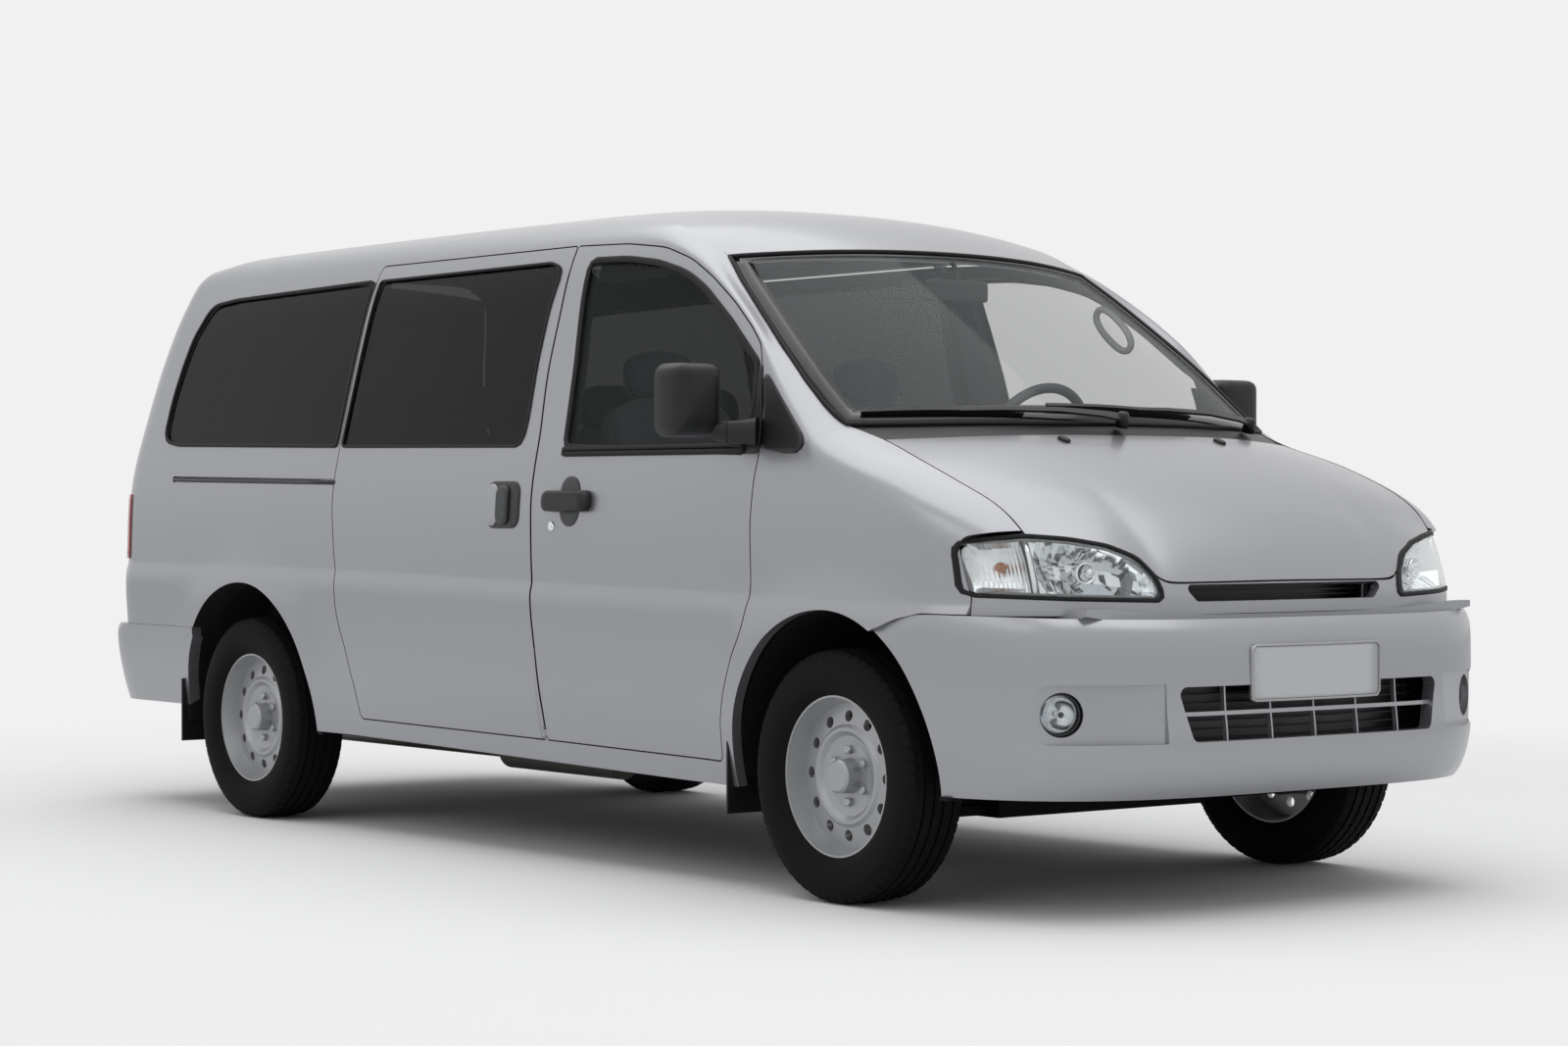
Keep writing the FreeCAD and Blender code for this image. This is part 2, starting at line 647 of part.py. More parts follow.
def windshield_point(share, down):
    """Drawn point of the windshield: share across, down from the roof (0) to the cowl (1)."""
    top_x, top_z = WINDSHIELD_TOP_CENTRE, smooth(ROOF_CENTRE, WINDSHIELD_TOP_CENTRE)
    centre_x = top_x + (GLASS_FOOT_CENTRE[0] - top_x) * down
    centre_z = top_z + (GLASS_FOOT_CENTRE[1] - top_z) * down + 14.0 * math.sin(math.pi * down)
    edge_x = WINDSHIELD_TOP_CORNER + (GLASS_FOOT_CORNER - WINDSHIELD_TOP_CORNER) * down
    edge_y, edge_z = smooth(UPPER_EDGE, edge_x, 1), smooth(UPPER_EDGE, edge_x, 2)
    bow = abs(share) ** 2.2
    return (centre_x + (edge_x - centre_x) * bow, share * edge_y, centre_z + (edge_z - centre_z) * bow)


DOWN_SHARES = [0.0, 0.12, 0.25, 0.38, 0.5, 0.62, 0.75, 0.88, 1.0]
windshield_rows = [[windshield_point(share, down) for share in ACROSS_SHARES] for down in DOWN_SHARES]
windshield = thick_skin(windshield_rows, size("glass_thickness"), CABIN_CORE, side=1)
for neighbour in ("roof", "side_right", "side_left"):
    windshield = windshield.cut(pieces[neighbour].Shape)
keep("windshield", clean(windshield))

# Hood, with its rear edge along the cowl and its front edge over the grille.
HOOD_CENTRE = [(1660, 1262), (1845, 1216), (1918, 1191), (2027, 1146), (2163, 1082), (2280, 1008), (2351, 938),
               (2386, 880), (2400, 845)]
HOOD_EDGE = [(1600, 763, 1222), (1677, 741, 1199), (1870, 771, 1140), (2015, 774, 1086), (2112, 762, 1044),
             (2175, 753, 1004), (2222, 742, 956)]
HOOD_REAR_CENTRE = 1845.0
HOOD_REAR_CORNER = 1677.0
HOOD_FRONT = [(0, 2397, 840), (383, 2388, 838), (425, 2380, 841), (445, 2373, 852), (483, 2350, 901),
              (555, 2320, 931), (649, 2280, 947), (744, 2222, 956)]


HOOD_SHARES = [-1.0, -0.94, -0.86, -0.76, -0.68, -0.62, -0.57, -0.51, -0.4, -0.2, 0.0, 0.2, 0.4, 0.51, 0.57,
               0.62, 0.68, 0.76, 0.86, 0.94, 1.0]


def hood_height(x, reach):
    """Drawn height of the hood's crown at a station, from its middle (0) to its side (1)."""
    side_height = smooth(HOOD_EDGE, min(x, 2222.0), 2) - max(0.0, x - 2222.0) * 0.75
    return side_height + (smooth(HOOD_CENTRE, x) - side_height) * (1.0 - reach ** 2.4)


def hood_column(station, shares=HOOD_SHARES):
    """Drawn points across the hood, at a share of the way from the cowl (0) to the lamps (1)."""
    points = []
    for share in shares:
        reach = abs(share)
        side_x = HOOD_REAR_CORNER + (2222.0 - HOOD_REAR_CORNER) * station
        side_y, side_z = smooth(HOOD_EDGE, side_x, 1), smooth(HOOD_EDGE, side_x, 2)
        y = share * side_y
        rear_x = HOOD_REAR_CENTRE + (HOOD_REAR_CORNER - HOOD_REAR_CENTRE) * reach ** 2.2
        front_x = smooth(HOOD_FRONT, abs(y), 1)
        x = rear_x + (front_x - rear_x) * station
        drop = smooth(HOOD_FRONT, abs(y), 2) - hood_height(front_x, reach)
        y -= share * size("lid_gap")
        if reach == 1.0:
            points.append((side_x, y, side_z))
            continue
        points.append((x, y, hood_height(x, reach) + drop * station ** 5))
    return points


HOOD_STATIONS = [0.0, 0.12, 0.25, 0.38, 0.5, 0.62, 0.72, 0.8, 0.87, 0.93, 0.97, 0.99, 1.0]
hood_rows = [hood_column(station) for station in HOOD_STATIONS]
keep("hood", thick_skin(hood_rows, size("panel_thickness"), NOSE_CORE, side=1))


# The ring of each bumper, seen from above.
def ring(half_points):
    """Points spaced evenly along a plan curve, from the right-hand end round to the left-hand one."""
    whole = [(x, -y) for x, y in half_points] + [(x, y) for x, y in reversed(half_points[:-1])]
    return whole


def even(points, count):
    """The same polyline with evenly spaced points."""
    lengths = [0.0]
    for (x0, y0), (x1, y1) in zip(points, points[1:]):
        lengths.append(lengths[-1] + math.hypot(x1 - x0, y1 - y0))
    spaced = []
    index = 0
    for step in range(count):
        goal = lengths[-1] * step / (count - 1)
        while index < len(lengths) - 2 and lengths[index + 1] < goal:
            index += 1
        share = (goal - lengths[index]) / (lengths[index + 1] - lengths[index])
        (x0, y0), (x1, y1) = points[index], points[index + 1]
        spaced.append((x0 + (x1 - x0) * share, y0 + (y1 - y0) * share))
    return spaced


def nose_plan(start, length, half_width, power_y, power_x, rear):
    """Half plan of the front end from its rear end at the side to the middle of the nose."""
    points = [(rear + (start - rear) * step / 8.0, half_width) for step in range(8)]
    for step in range(61):
        angle = math.radians(90.0 * (1.0 - step / 60.0))
        reach = math.sin(angle) ** (2.0 / power_y)
        x = start + length * max(0.0, 1.0 - reach ** power_y) ** (1.0 / power_x)
        points.append((x, half_width * reach))
    return points


BUMPER_FACE = [(305, -36), (330, -8), (360, 6), (440, 20), (520, 8), (600, 4), (690, 2), (735, -8), (749, -30)]
BUMPER_REAR_END = 1800.0
RING_COUNT = 61
BUMPER_PROFILE = [(305, 868), (380, 880), (480, 897), (620, 906), (735, 906), (749, 902)]
BUMPER_TOP = [(1800, 700), (1836, 711), (1924, 742), (2013, 758), (2168, 757), (2400, 751), (2520, 746)]
BUMPER_HEIGHTS = [0.0, 0.05, 0.12, 0.22, 0.34, 0.48, 0.62, 0.75, 0.87, 0.95, 1.0]


def bumper_columns():
    plans = {}
    for z, face in BUMPER_FACE:
        width = smooth(BUMPER_PROFILE, z)
        plans[z] = even(ring(nose_plan(BUMPER_NOSE_START, BUMPER_NOSE_LENGTH + face, width, 4.0, 2.0,
                                       BUMPER_REAR_END)), RING_COUNT)
    heights = sorted(plans)
    columns = []
    for index in range(RING_COUNT):
        x_table = [(z, plans[z][index][0]) for z in heights]
        y_table = [(z, plans[z][index][1]) for z in heights]
        top = smooth(BUMPER_TOP, plans[690][index][0])
        column = []
        for share in BUMPER_HEIGHTS:
            z = 305.0 + (top - 305.0) * share
            level = 305.0 + (749.0 - 305.0) * share
            column.append((smooth(x_table, level), smooth(y_table, level), z))
        columns.append(column)
    return columns


front_bumper = thick_skin(bumper_columns(), size("bumper_thickness"), NOSE_CORE, side=1)
for side, _ in SIDE_NAMES:
    front_bumper = front_bumper.cut(arch_cylinder(front_axle_x, size("arch_radius"), side, 0.0))

# A shallow pocket runs inwards from each fog lamp: its floor is a flat chord under the curved bumper.
FOG_POCKET = [(480, 590, 1), (800, 590, 40), (800, 444, 40), (480, 444, 1)]
POCKET_CHORD = ((2319, 790), (2472, 504))
for side, _ in SIDE_NAMES:
    plan = [POCKET_CHORD[0], POCKET_CHORD[1], (2700, POCKET_CHORD[1][1]), (2700, 900), (POCKET_CHORD[0][0], 900)]
    corners = [place(x, side * y, FOG_POCKET[2][1]) for x, y in plan]
    ahead = Part.Face(Part.makePolygon(corners + corners[:1])).extrude(Vector(0, 0, up(590.0) - up(444.0)))
    outline = FOG_POCKET if side > 0 else mirrored(FOG_POCKET)
    front_bumper = front_bumper.cut(ahead.common(front_prism(outline, 2300, 2700)))

# The intake, with one bar across it and five upright ones.
INTAKE = [(-470, 582, 20), (470, 582, 20), (430, 446, 20), (-430, 446, 20)]
front_bumper = front_bumper.cut(front_prism(INTAKE, 2300, 2700))
INTAKE_BARS = [(-480, 480, 509, 519)] + [(y - 2.5, y + 2.5, 440, 590) for y in (-310, -155, 0, 155, 310)]
inner_face = thick_skin(bumper_columns(), size("bumper_thickness") * 0.75, NOSE_CORE,
                        start=size("bumper_thickness") * 0.4, side=1)
for y0, y1, z0, z1 in INTAKE_BARS:
    front_bumper = front_bumper.fuse(inner_face.common(slab(2300, 2600, y0, y1, z0, z1)))
keep("bumper_front", clean(front_bumper))

REAR_BUMPER_FACE = [(352, -2480), (400, -2500), (480, -2512), (560, -2517.5), (600, -2512), (617, -2490)]
REAR_BUMPER_CORNER = 210.0
REAR_BUMPER_END = -1800.0


def rear_plan(face_x, half_width, front_x):
    """Half plan of the rear end, from the side round the corner to the middle."""
    radius = REAR_BUMPER_CORNER
    points = [(front_x + (face_x + radius - front_x) * step / 8.0, half_width) for step in range(8)]
    for step in range(19):
        angle = math.radians(5.0 * step)
        reach = radius * (1.0 - math.sin(angle))
        points.append((face_x + reach, half_width - radius * (1.0 - math.cos(angle))))
    for step in range(1, 7):
        share = step / 6.0
        points.append((face_x, (half_width - radius) * (1.0 - share)))
    return points


def rear_bumper_columns():
    plans = {z: even(ring(rear_plan(face, side_width(-1750, z) - 12.0, REAR_BUMPER_END)), RING_COUNT)
             for z, face in REAR_BUMPER_FACE}
    columns = []
    for index in range(RING_COUNT):
        columns.append([(plans[z][index][0], plans[z][index][1], z) for z, _ in REAR_BUMPER_FACE])
    return columns


rear_bumper = thick_skin(rear_bumper_columns(), size("bumper_thickness"), CABIN_CORE, side=1)
for side, _ in SIDE_NAMES:
    rear_bumper = rear_bumper.cut(arch_cylinder(rear_axle_x, size("rear_arch_radius"), side, 0.0))
keep("bumper_rear", clean(rear_bumper))

# The front face between bumper and hood: the two lamps, and the grille panel with its slot between them.
FACE_RAKE = [(750, 0), (800, 0), (840, 10), (900, 30), (955, 56), (1000, 80)]
FACE_HALF_WIDTH = 897.0
FACE_BOTTOM = 757.0
FACE_END = 2060.0
FACE_SHARES = [0.0, 0.12, 0.3, 0.5, 0.7, 0.88, 1.0]
LAMP = [(870, 806, 4), (862, 944, 30), (744, 956, 60), (649, 948, 200), (555, 931, 100), (483, 901, 60),
        (440, 852, 80), (421, 790, 16), (682, 797, 900)]
GRILLE_SLOT = [(-366, 831, 12), (366, 831, 12), (322, 788, 18), (-322, 788, 18)]


def face_columns():
    plan = even(ring(nose_plan(FENDER_NOSE_START, FENDER_NOSE_LENGTH, FACE_HALF_WIDTH, 3.2, 2.5, FACE_END)),
                RING_COUNT)
    columns = []
    for x, y in plan:
        top = smooth(HOOD_FRONT, abs(y), 2) - size("lid_gap")
        column = []
        for share in FACE_SHARES:
            z = FACE_BOTTOM + (top - FACE_BOTTOM) * share
            column.append((x - smooth(FACE_RAKE, z), y, z))
        columns.append(column)
    return columns


front_face = thick_skin(face_columns(), size("panel_thickness"), NOSE_CORE, side=1)
for side, _ in SIDE_NAMES:
    rear_zone = [(1900, 700, 1), (2150, 740, 1), (2154, 800, 20), (2112, 948, 30), (2180, 962, 1),
                 (2180, 1100, 1), (1900, 1100, 1)]
    front_face = front_face.cut(side_prism(rear_zone, size("seam_gap"), side))
lamp_shapes = []
grille_panel = front_face.cut(front_prism(GRILLE_SLOT, 2300, 2500))
for outline in (LAMP, mirrored(LAMP)):
    prism = front_prism(outline, 1900, 2500)
    lamp_shapes.append(front_face.common(prism))
    grille_panel = grille_panel.cut(prism)
keep("grille_panel", max(grille_panel.Solids, key=lambda solid: solid.Volume))

# Round fog lamps, each a short barrel that closes a round hole in the bumper.
FOG_PLACE = (2285.0, 698.0, 517.0)
for side, _ in SIDE_NAMES:
    centre = place(FOG_PLACE[0], side * FOG_PLACE[1], FOG_PLACE[2])
    aim = Vector(0.8, side * 0.45, 0).normalize()
    hole = Part.makeCylinder(size("fog_lamp_radius"), 260.0, centre - aim * 60.0, aim)
    pieces["bumper_front"].Shape = clean(pieces["bumper_front"].Shape.cut(hole))
    lens = Part.makeCylinder(size("fog_lamp_radius") - size("seam_gap"), 60.0, centre, aim)
    lamp_shapes.append(lens)
keep("front_lamps", Part.makeCompound([solid for shape in lamp_shapes for solid in shape.Solids]))


# Cowl: the black strip between the windshield's foot and the hood.
def cowl_rows():
    inner = [windshield_point(share * 0.999, 1.0) for share in ACROSS_SHARES]
    outer = hood_column(0.0, ACROSS_SHARES)
    rows = []
    for step in (0.02, 0.34, 0.67, 1.0):
        row = []
        for (x0, y0, z0), (x1, y1, z1) in zip(inner, outer):
            x1 -= size("lid_gap")
            row.append((x0 + (x1 - x0) * step, (y0 + (y1 - y0) * step) * 0.998, z0 + (z1 - z0) * step - 2.0))
        rows.append(row)
    return rows


cowl = thick_skin(cowl_rows(), size("cowl_thickness"), NOSE_CORE, side=1).cut(pieces["windshield"].Shape)
for _, name in SIDE_NAMES:
    cowl = cowl.cut(pieces[f"side_{name}"].Shape).cut(pieces[f"fender_{name}"].Shape)
keep("cowl", clean(cowl))

# Tailgate: the rear face between the two rear corners, with its window.
TAILGATE_FOOT = 632.0
TAILGATE_ROWS = [0.0, 0.06, 0.13, 0.2, 0.27, 0.34, 0.4, 0.46, 0.52, 0.58, 0.65, 0.72, 0.79, 0.86, 0.92, 0.97, 1.0]
TAILGATE_TOP = (1790.0, 36.0)
TAIL_BOW = 16.0
TAIL_WINDOW = [(-560, 1225, 60), (-430, 1700, 70), (430, 1700, 70), (560, 1225, 60)]


def tailgate_columns():
    corner_edge = [(z, y - smooth(REAR_CORNER, z)) for y, z in side_section(CORNER_STATION)]
    rows = []
    for level in TAILGATE_ROWS:
        row = []
        for share in ACROSS_SHARES:
            top = TAILGATE_TOP[0] + TAILGATE_TOP[1] * (1.0 - share * share)
            z = TAILGATE_FOOT + (top - TAILGATE_FOOT) * level
            half = smooth(corner_edge, z) - size("shut_gap")
            row.append((smooth(REAR_FACE, z) - TAIL_BOW * (1.0 - share * share), half * share, z))
        rows.append(row)
    return rows


tailgate = thick_skin(tailgate_columns(), size("tailgate_thickness"), CABIN_CORE, side=1)
keep("tailgate", clean(tailgate.cut(front_prism(TAIL_WINDOW, -2500, -2000))))
inset = size("glass_inset")
tail_pane = thick_skin(tailgate_columns(), inset + size("glass_thickness"), CABIN_CORE, start=inset, side=1)
keep("tailgate_glass", clean(tail_pane.common(front_prism(TAIL_WINDOW, -2500, -2000, -size("seam_gap")))))

# Tail lamps, cut out of the rear corners of the sides.
TAIL_LAMP = (-2600.0, -2300.0, 838.0, 1072.0)
tail_lamp_shapes = []
for side, name in SIDE_NAMES:
    y0, y1 = sorted((0.0, side * 1000.0))
    block = slab(TAIL_LAMP[0], TAIL_LAMP[1], y0, y1, TAIL_LAMP[2], TAIL_LAMP[3])
    whole = pieces[f"side_{name}"].Shape
    tail_lamp_shapes.append(whole.common(block))
    pieces[f"side_{name}"].Shape = clean(whole.cut(block))
keep("tail_lamps", Part.makeCompound([solid for shape in tail_lamp_shapes for solid in shape.Solids]))


# Pieces made of blocks, tubes and revolved profiles, each bound to the sheet.
def bind(piece, prop, words):
    piece.setExpression(prop, formula(words))


def locate(piece, x, y, z, rotation=None):
    piece.Placement = FreeCAD.Placement(Vector(measure(x), measure(y), measure(z)),
                                        rotation or FreeCAD.Rotation())
    for axis, words in (("x", x), ("y", y), ("z", z)):
        piece.setExpression(f"Placement.Base.{axis}", formula(words))
    return piece


def box(name, x, y, z, length, width, height):
    """Block with its lowest corner at (x, y, z)."""
    piece = document.addObject("Part::Box", name)
    for prop, words in (("Length", length), ("Width", width), ("Height", height)):
        bind(piece, prop, words)
    return locate(piece, x, y, z)


ALONG_X = FreeCAD.Rotation(Vector(0, 1, 0), 90)
TO_LEFT = FreeCAD.Rotation(Vector(1, 0, 0), -90)
TO_RIGHT = FreeCAD.Rotation(Vector(1, 0, 0), 90)


def tube(name, x, y, z, radius, length, rotation=None):
    """Round bar from (x, y, z) along its rotated +Z."""
    piece = document.addObject("Part::Cylinder", name)
    bind(piece, "Radius", radius)
    bind(piece, "Height", length)
    return locate(piece, x, y, z, rotation)


def joined(name, members):
    piece = document.addObject("Part::MultiFuse", name)
    piece.Shapes = members
    return piece


def finish(label, piece):
    """Takes a bound piece as a node under its plain name."""
    piece.Label = label
    pieces[label] = piece


def outward(side, words):
    """The sum for one side: mirrored for the right-hand one."""
    if side > 0:
        return words
    swapped = ["-" if w == "+" else "+" if w == "-" else w for w in words.split()]
    return "0 - " + " ".join(swapped)


# Wheels: a revolved tyre round a revolved steel rim with a ring of holes.
def profile_body(name, corners):
    """Body turned about its own Z from a closed profile of (radius, height) sums."""
    body = document.addObject("PartDesign::Body", name)
    plane = [f for f in body.Origin.OriginFeatures if f.Role == "XZ_Plane"][0]
    sketch = body.newObject("Sketcher::SketchObject", f"{name}_profile")
    sketch.AttachmentSupport = [(plane, "")]
    sketch.MapMode = "FlatFace"
    values = [Vector(measure(r), measure(h), 0) for r, h in corners]
    count = len(corners)
    for i in range(count):
        sketch.addGeometry(Part.LineSegment(values[i], values[(i + 1) % count]), False)
    for i in range(count):
        sketch.addConstraint(Sketcher.Constraint("Coincident", i, 2, (i + 1) % count, 1))
    for i, (radius, height) in enumerate(corners):
        for kind, words in (("DistanceX", radius), ("DistanceY", height)):
            if abs(measure(words)) < 1e-6:
                axis = -1 if kind == "DistanceY" else -2
                sketch.addConstraint(Sketcher.Constraint("PointOnObject", i, 1, axis))
                continue
            index = sketch.addConstraint(Sketcher.Constraint(kind, -1, 1, i, 1, measure(words)))
            sketch.setExpression(f"Constraints[{index}]", formula(words))
    turned = body.newObject("PartDesign::Revolution", f"{name}_turned")
    turned.Profile = sketch
    turned.ReferenceAxis = (sketch, ["V_Axis"])
    turned.Angle = 360.0
    document.recompute()
    return body


TYRE_PROFILE = [("rim_radius", "14"), ("tyre_radius - 62", "0"), ("tyre_radius - 24", "5"),
                ("tyre_radius - 8", "tyre_shoulder"), ("tyre_radius", "tyre_shoulder + 22"),
                ("tyre_radius", "tyre_width - tyre_shoulder - 22"),
                ("tyre_radius - 8", "tyre_width - tyre_shoulder"), ("tyre_radius - 24", "tyre_width - 5"),
                ("tyre_radius - 62", "tyre_width"), ("rim_radius", "tyre_width - 14")]
RIM_INNER = "tyre_width*0.5 - rim_depth*0.5"
RIM_OUTER = "tyre_width*0.5 + rim_depth*0.5"
RIM_DISC = RIM_OUTER + " - rim_dish"
RIM_BACK = RIM_DISC + " - rim_disc"
RIM_PROFILE = [("0", RIM_BACK), ("rim_radius - rim_wall - 10", RIM_BACK), ("rim_radius - rim_wall", RIM_INNER),
               ("rim_radius - seam_gap", RIM_INNER), ("rim_radius - seam_gap", RIM_OUTER),
               ("rim_radius - rim_wall", RIM_OUTER), ("rim_radius - rim_wall - 16", RIM_DISC),
               ("rim_ridge_radius + 14", RIM_DISC + " + 8"), ("rim_ridge_radius + 5", RIM_DISC + " + 15"),
               ("rim_ridge_radius - 4", RIM_DISC + " + 15"), ("rim_ridge_radius - 16", RIM_DISC + " + 4"),
               ("rim_ridge_radius - 34", RIM_DISC), ("hub_cap_radius", RIM_DISC),
               ("hub_cap_radius - 2", RIM_DISC + " + hub_cap_length - 6"),
               ("hub_cap_radius - 8", RIM_DISC + " + hub_cap_length"), ("0", RIM_DISC + " + hub_cap_length")]
WHEELS = [("front_right", FRONT_AXLE, -1), ("front_left", FRONT_AXLE, 1), ("rear_right", REAR_AXLE, -1),
          ("rear_left", REAR_AXLE, 1)]
for name, axle, side in WHEELS:
    turn = TO_LEFT if side > 0 else TO_RIGHT
    inner = outward(side, "wheel_track*0.5 - tyre_width*0.5")
    tyre = profile_body(f"tyre_{name}_body", TYRE_PROFILE)
    locate(tyre, axle, inner, "axle_height", turn)
    finish(f"tyre_{name}", tyre)
    rim = profile_body(f"rim_{name}_body", RIM_PROFILE)
    hole = rim.newObject("PartDesign::SubtractiveCylinder", f"rim_{name}_hole")
    hole.setExpression("Radius", "Sizes.rim_hole_radius")
    hole.setExpression("Height", "Sizes.tyre_width")
    hole.setExpression("Placement.Base.x", "Sizes.rim_hole_circle")
    document.recompute()
    pattern = rim.newObject("PartDesign::PolarPattern", f"rim_{name}_holes")
    pattern.Originals = [hole]
    pattern.Axis = (rim.Group[0], ["V_Axis"])
    pattern.Angle = 360.0
    pattern.setExpression("Occurrences", "Sizes.rim_hole_count")
    rim.Tip = pattern
    locate(rim, axle, inner, "axle_height", turn)
    finish(f"rim_{name}", rim)

# Rear axle: a beam with drums, on two leaf springs that hang from the floor.
beam = tube("rear_beam", REAR_AXLE, "0 - wheel_track*0.5 + 60", "axle_height", "axle_tube_radius",
            "wheel_track - 120", TO_LEFT)
members = [beam]
for side, name in SIDE_NAMES:
    turn = TO_LEFT if side > 0 else TO_RIGHT
    members.append(tube(f"drum_{name}", REAR_AXLE, outward(side, "wheel_track*0.5 - 95"), "axle_height",
                        "brake_radius", "70", turn))
    members.append(tube(f"rear_spindle_{name}", REAR_AXLE, outward(side, "wheel_track*0.5 - 95"), "axle_height",
                        "axle_tube_radius", "95 + rim_depth*0.5 - rim_dish - rim_disc - seam_gap", turn))
    spring_y = "spring_track*0.5 - 30" if side > 0 else "0 - spring_track*0.5 - 30"
    members.append(box(f"leaf_{name}", REAR_AXLE + " - 600", spring_y, "axle_height + 30", "1020", "60", "34"))
    for end, shift in (("rear", " - 600"), ("front", " + 380")):
        members.append(box(f"shackle_{end}_{name}", REAR_AXLE + shift, spring_y, "axle_height + 60", "40", "60",
                           "rear_floor_height - axle_height - 60 - seam_gap"))
finish("rear_axle", joined("rear_axle_parts", members))

# Front suspension: a cross-member with two lower arms, and a strut over each knuckle.
members = [box("cross_member", FRONT_AXLE + " - 80", "0 - arm_root", "200", "160", "arm_root*2", "90"),
           box("cross_tower", FRONT_AXLE + " - 60", "0 - rail_spacing*0.5 + rail_width*0.5 - 20", "280", "120",
               "rail_spacing - rail_width + 40", "floor_height - 20 - 280 - seam_gap")]
for side, name in SIDE_NAMES:
    arm_y = "arm_root - 20" if side > 0 else "0 - kingpin_track*0.5 - 20"
    members.append(box(f"lower_arm_{name}", FRONT_AXLE + " - 30", arm_y, "205", "60",
                       "kingpin_track*0.5 - arm_root + 40", "26"))

# Front struts, each from its lower arm up to the wheel housing.
for side, name in SIDE_NAMES:
    members += [tube(f"strut_{name}", FRONT_AXLE, outward(side, "strut_track*0.5"), "231 - 1", "22",
                     "axle_height + arch_rise + arch_radius - 230 - 1"),
                tube(f"spring_{name}", FRONT_AXLE, outward(side, "strut_track*0.5"), "500", "52", "200")]
finish("front_suspension", joined("front_suspension_parts", members))

# Knuckles: an upright on the kingpin, a spindle into the wheel, and the brake disc.
for side, name in SIDE_NAMES:
    turn = TO_LEFT if side > 0 else TO_RIGHT
    upright_y = "kingpin_track*0.5 - 25" if side > 0 else "0 - kingpin_track*0.5 - 25"
    members = [box(f"upright_{name}", FRONT_AXLE + " - 35", upright_y, "231 + seam_gap", "70", "50", "200"),
               tube(f"disc_{name}", FRONT_AXLE, outward(side, "wheel_track*0.5 - 40"), "axle_height",
                    "brake_radius", "24", turn),
               tube(f"spindle_{name}", FRONT_AXLE, outward(side, "kingpin_track*0.5"), "axle_height",
                    "axle_tube_radius",
                    "wheel_track*0.5 - kingpin_track*0.5 + rim_depth*0.5 - rim_dish - rim_disc - seam_gap", turn)]
    finish(f"knuckle_{name}", joined(f"knuckle_parts_{name}", members))
document.recompute()

# The floor: a pan between the sills, a raised rear deck over the axle with round wheel housings, the fire wall,
# the nose's inner walls and rails, the beams that carry both bumpers and the front face, a lashing eye at each
# end of both rails, and four flat pads for a jack.
half_floor = size("floor_width") * 0.5
floor_top = size("floor_height")
rear_top = size("rear_floor_height")
plate = size("floor_plate")
pan_bottom = up(296.0)
fire_wall_x = along(1330.0)
deck_start = along(-950.0)
tail_x = along(-2345.0)
nose_x = along(2300.0)
arch_height = size("axle_height") + size("arch_rise")


def block(x0, x1, y0, y1, z0, z1):
    """Real block between two corners; the widths may come in either order."""
    low_y, high_y = sorted((y0, y1))
    return Part.makeBox(x1 - x0, high_y - low_y, z1 - z0, Vector(x0, low_y, z0))


def outer_block(side, x0, x1, y0, y1, z0, z1):
    return block(x0, x1, side * y0, side * y1, z0, z1)


rear_wall = size("rear_well_wall")
front_wall = size("wheel_well_wall")
JACK_STATIONS = (900.0, -700.0)
eye_plate = size("tow_eye_plate")
eye_reach = size("tow_eye_reach")
floor_blocks = [
    block(along(-985.0), along(1190.0), -half_floor - 60.0, half_floor + 60.0, pan_bottom, pan_bottom + plate),
    block(along(-985.0), fire_wall_x + plate, -half_floor, half_floor, pan_bottom, floor_top),
    block(deck_start - 40.0, deck_start, -half_floor, half_floor, pan_bottom, rear_top + plate),
    block(tail_x, deck_start, -rear_wall, rear_wall, rear_top, rear_top + plate),
    block(tail_x, rear_axle_x - size("rear_arch_radius") - 30.0, -half_floor - 30.0, half_floor + 30.0, rear_top,
          rear_top + plate),
    block(fire_wall_x, fire_wall_x + plate, -half_floor + 40.0, half_floor - 40.0, pan_bottom, up(1118.0)),
    block(nose_x, nose_x + 40.0, -620.0, 620.0, floor_top, up(775.0)),
    block(nose_x, along(2480.0), -600.0, 600.0, up(600.0), up(690.0)),
    block(nose_x - 80.0, along(2400.0), -700.0, 700.0, up(715.0), up(775.0)),
    block(tail_x - 140.0, tail_x + 10.0, -600.0, 600.0, rear_top - 30.0, rear_top + plate),
    block(tail_x - 50.0, tail_x + 10.0, -500.0, 500.0, rear_top, up(680.0)),
]
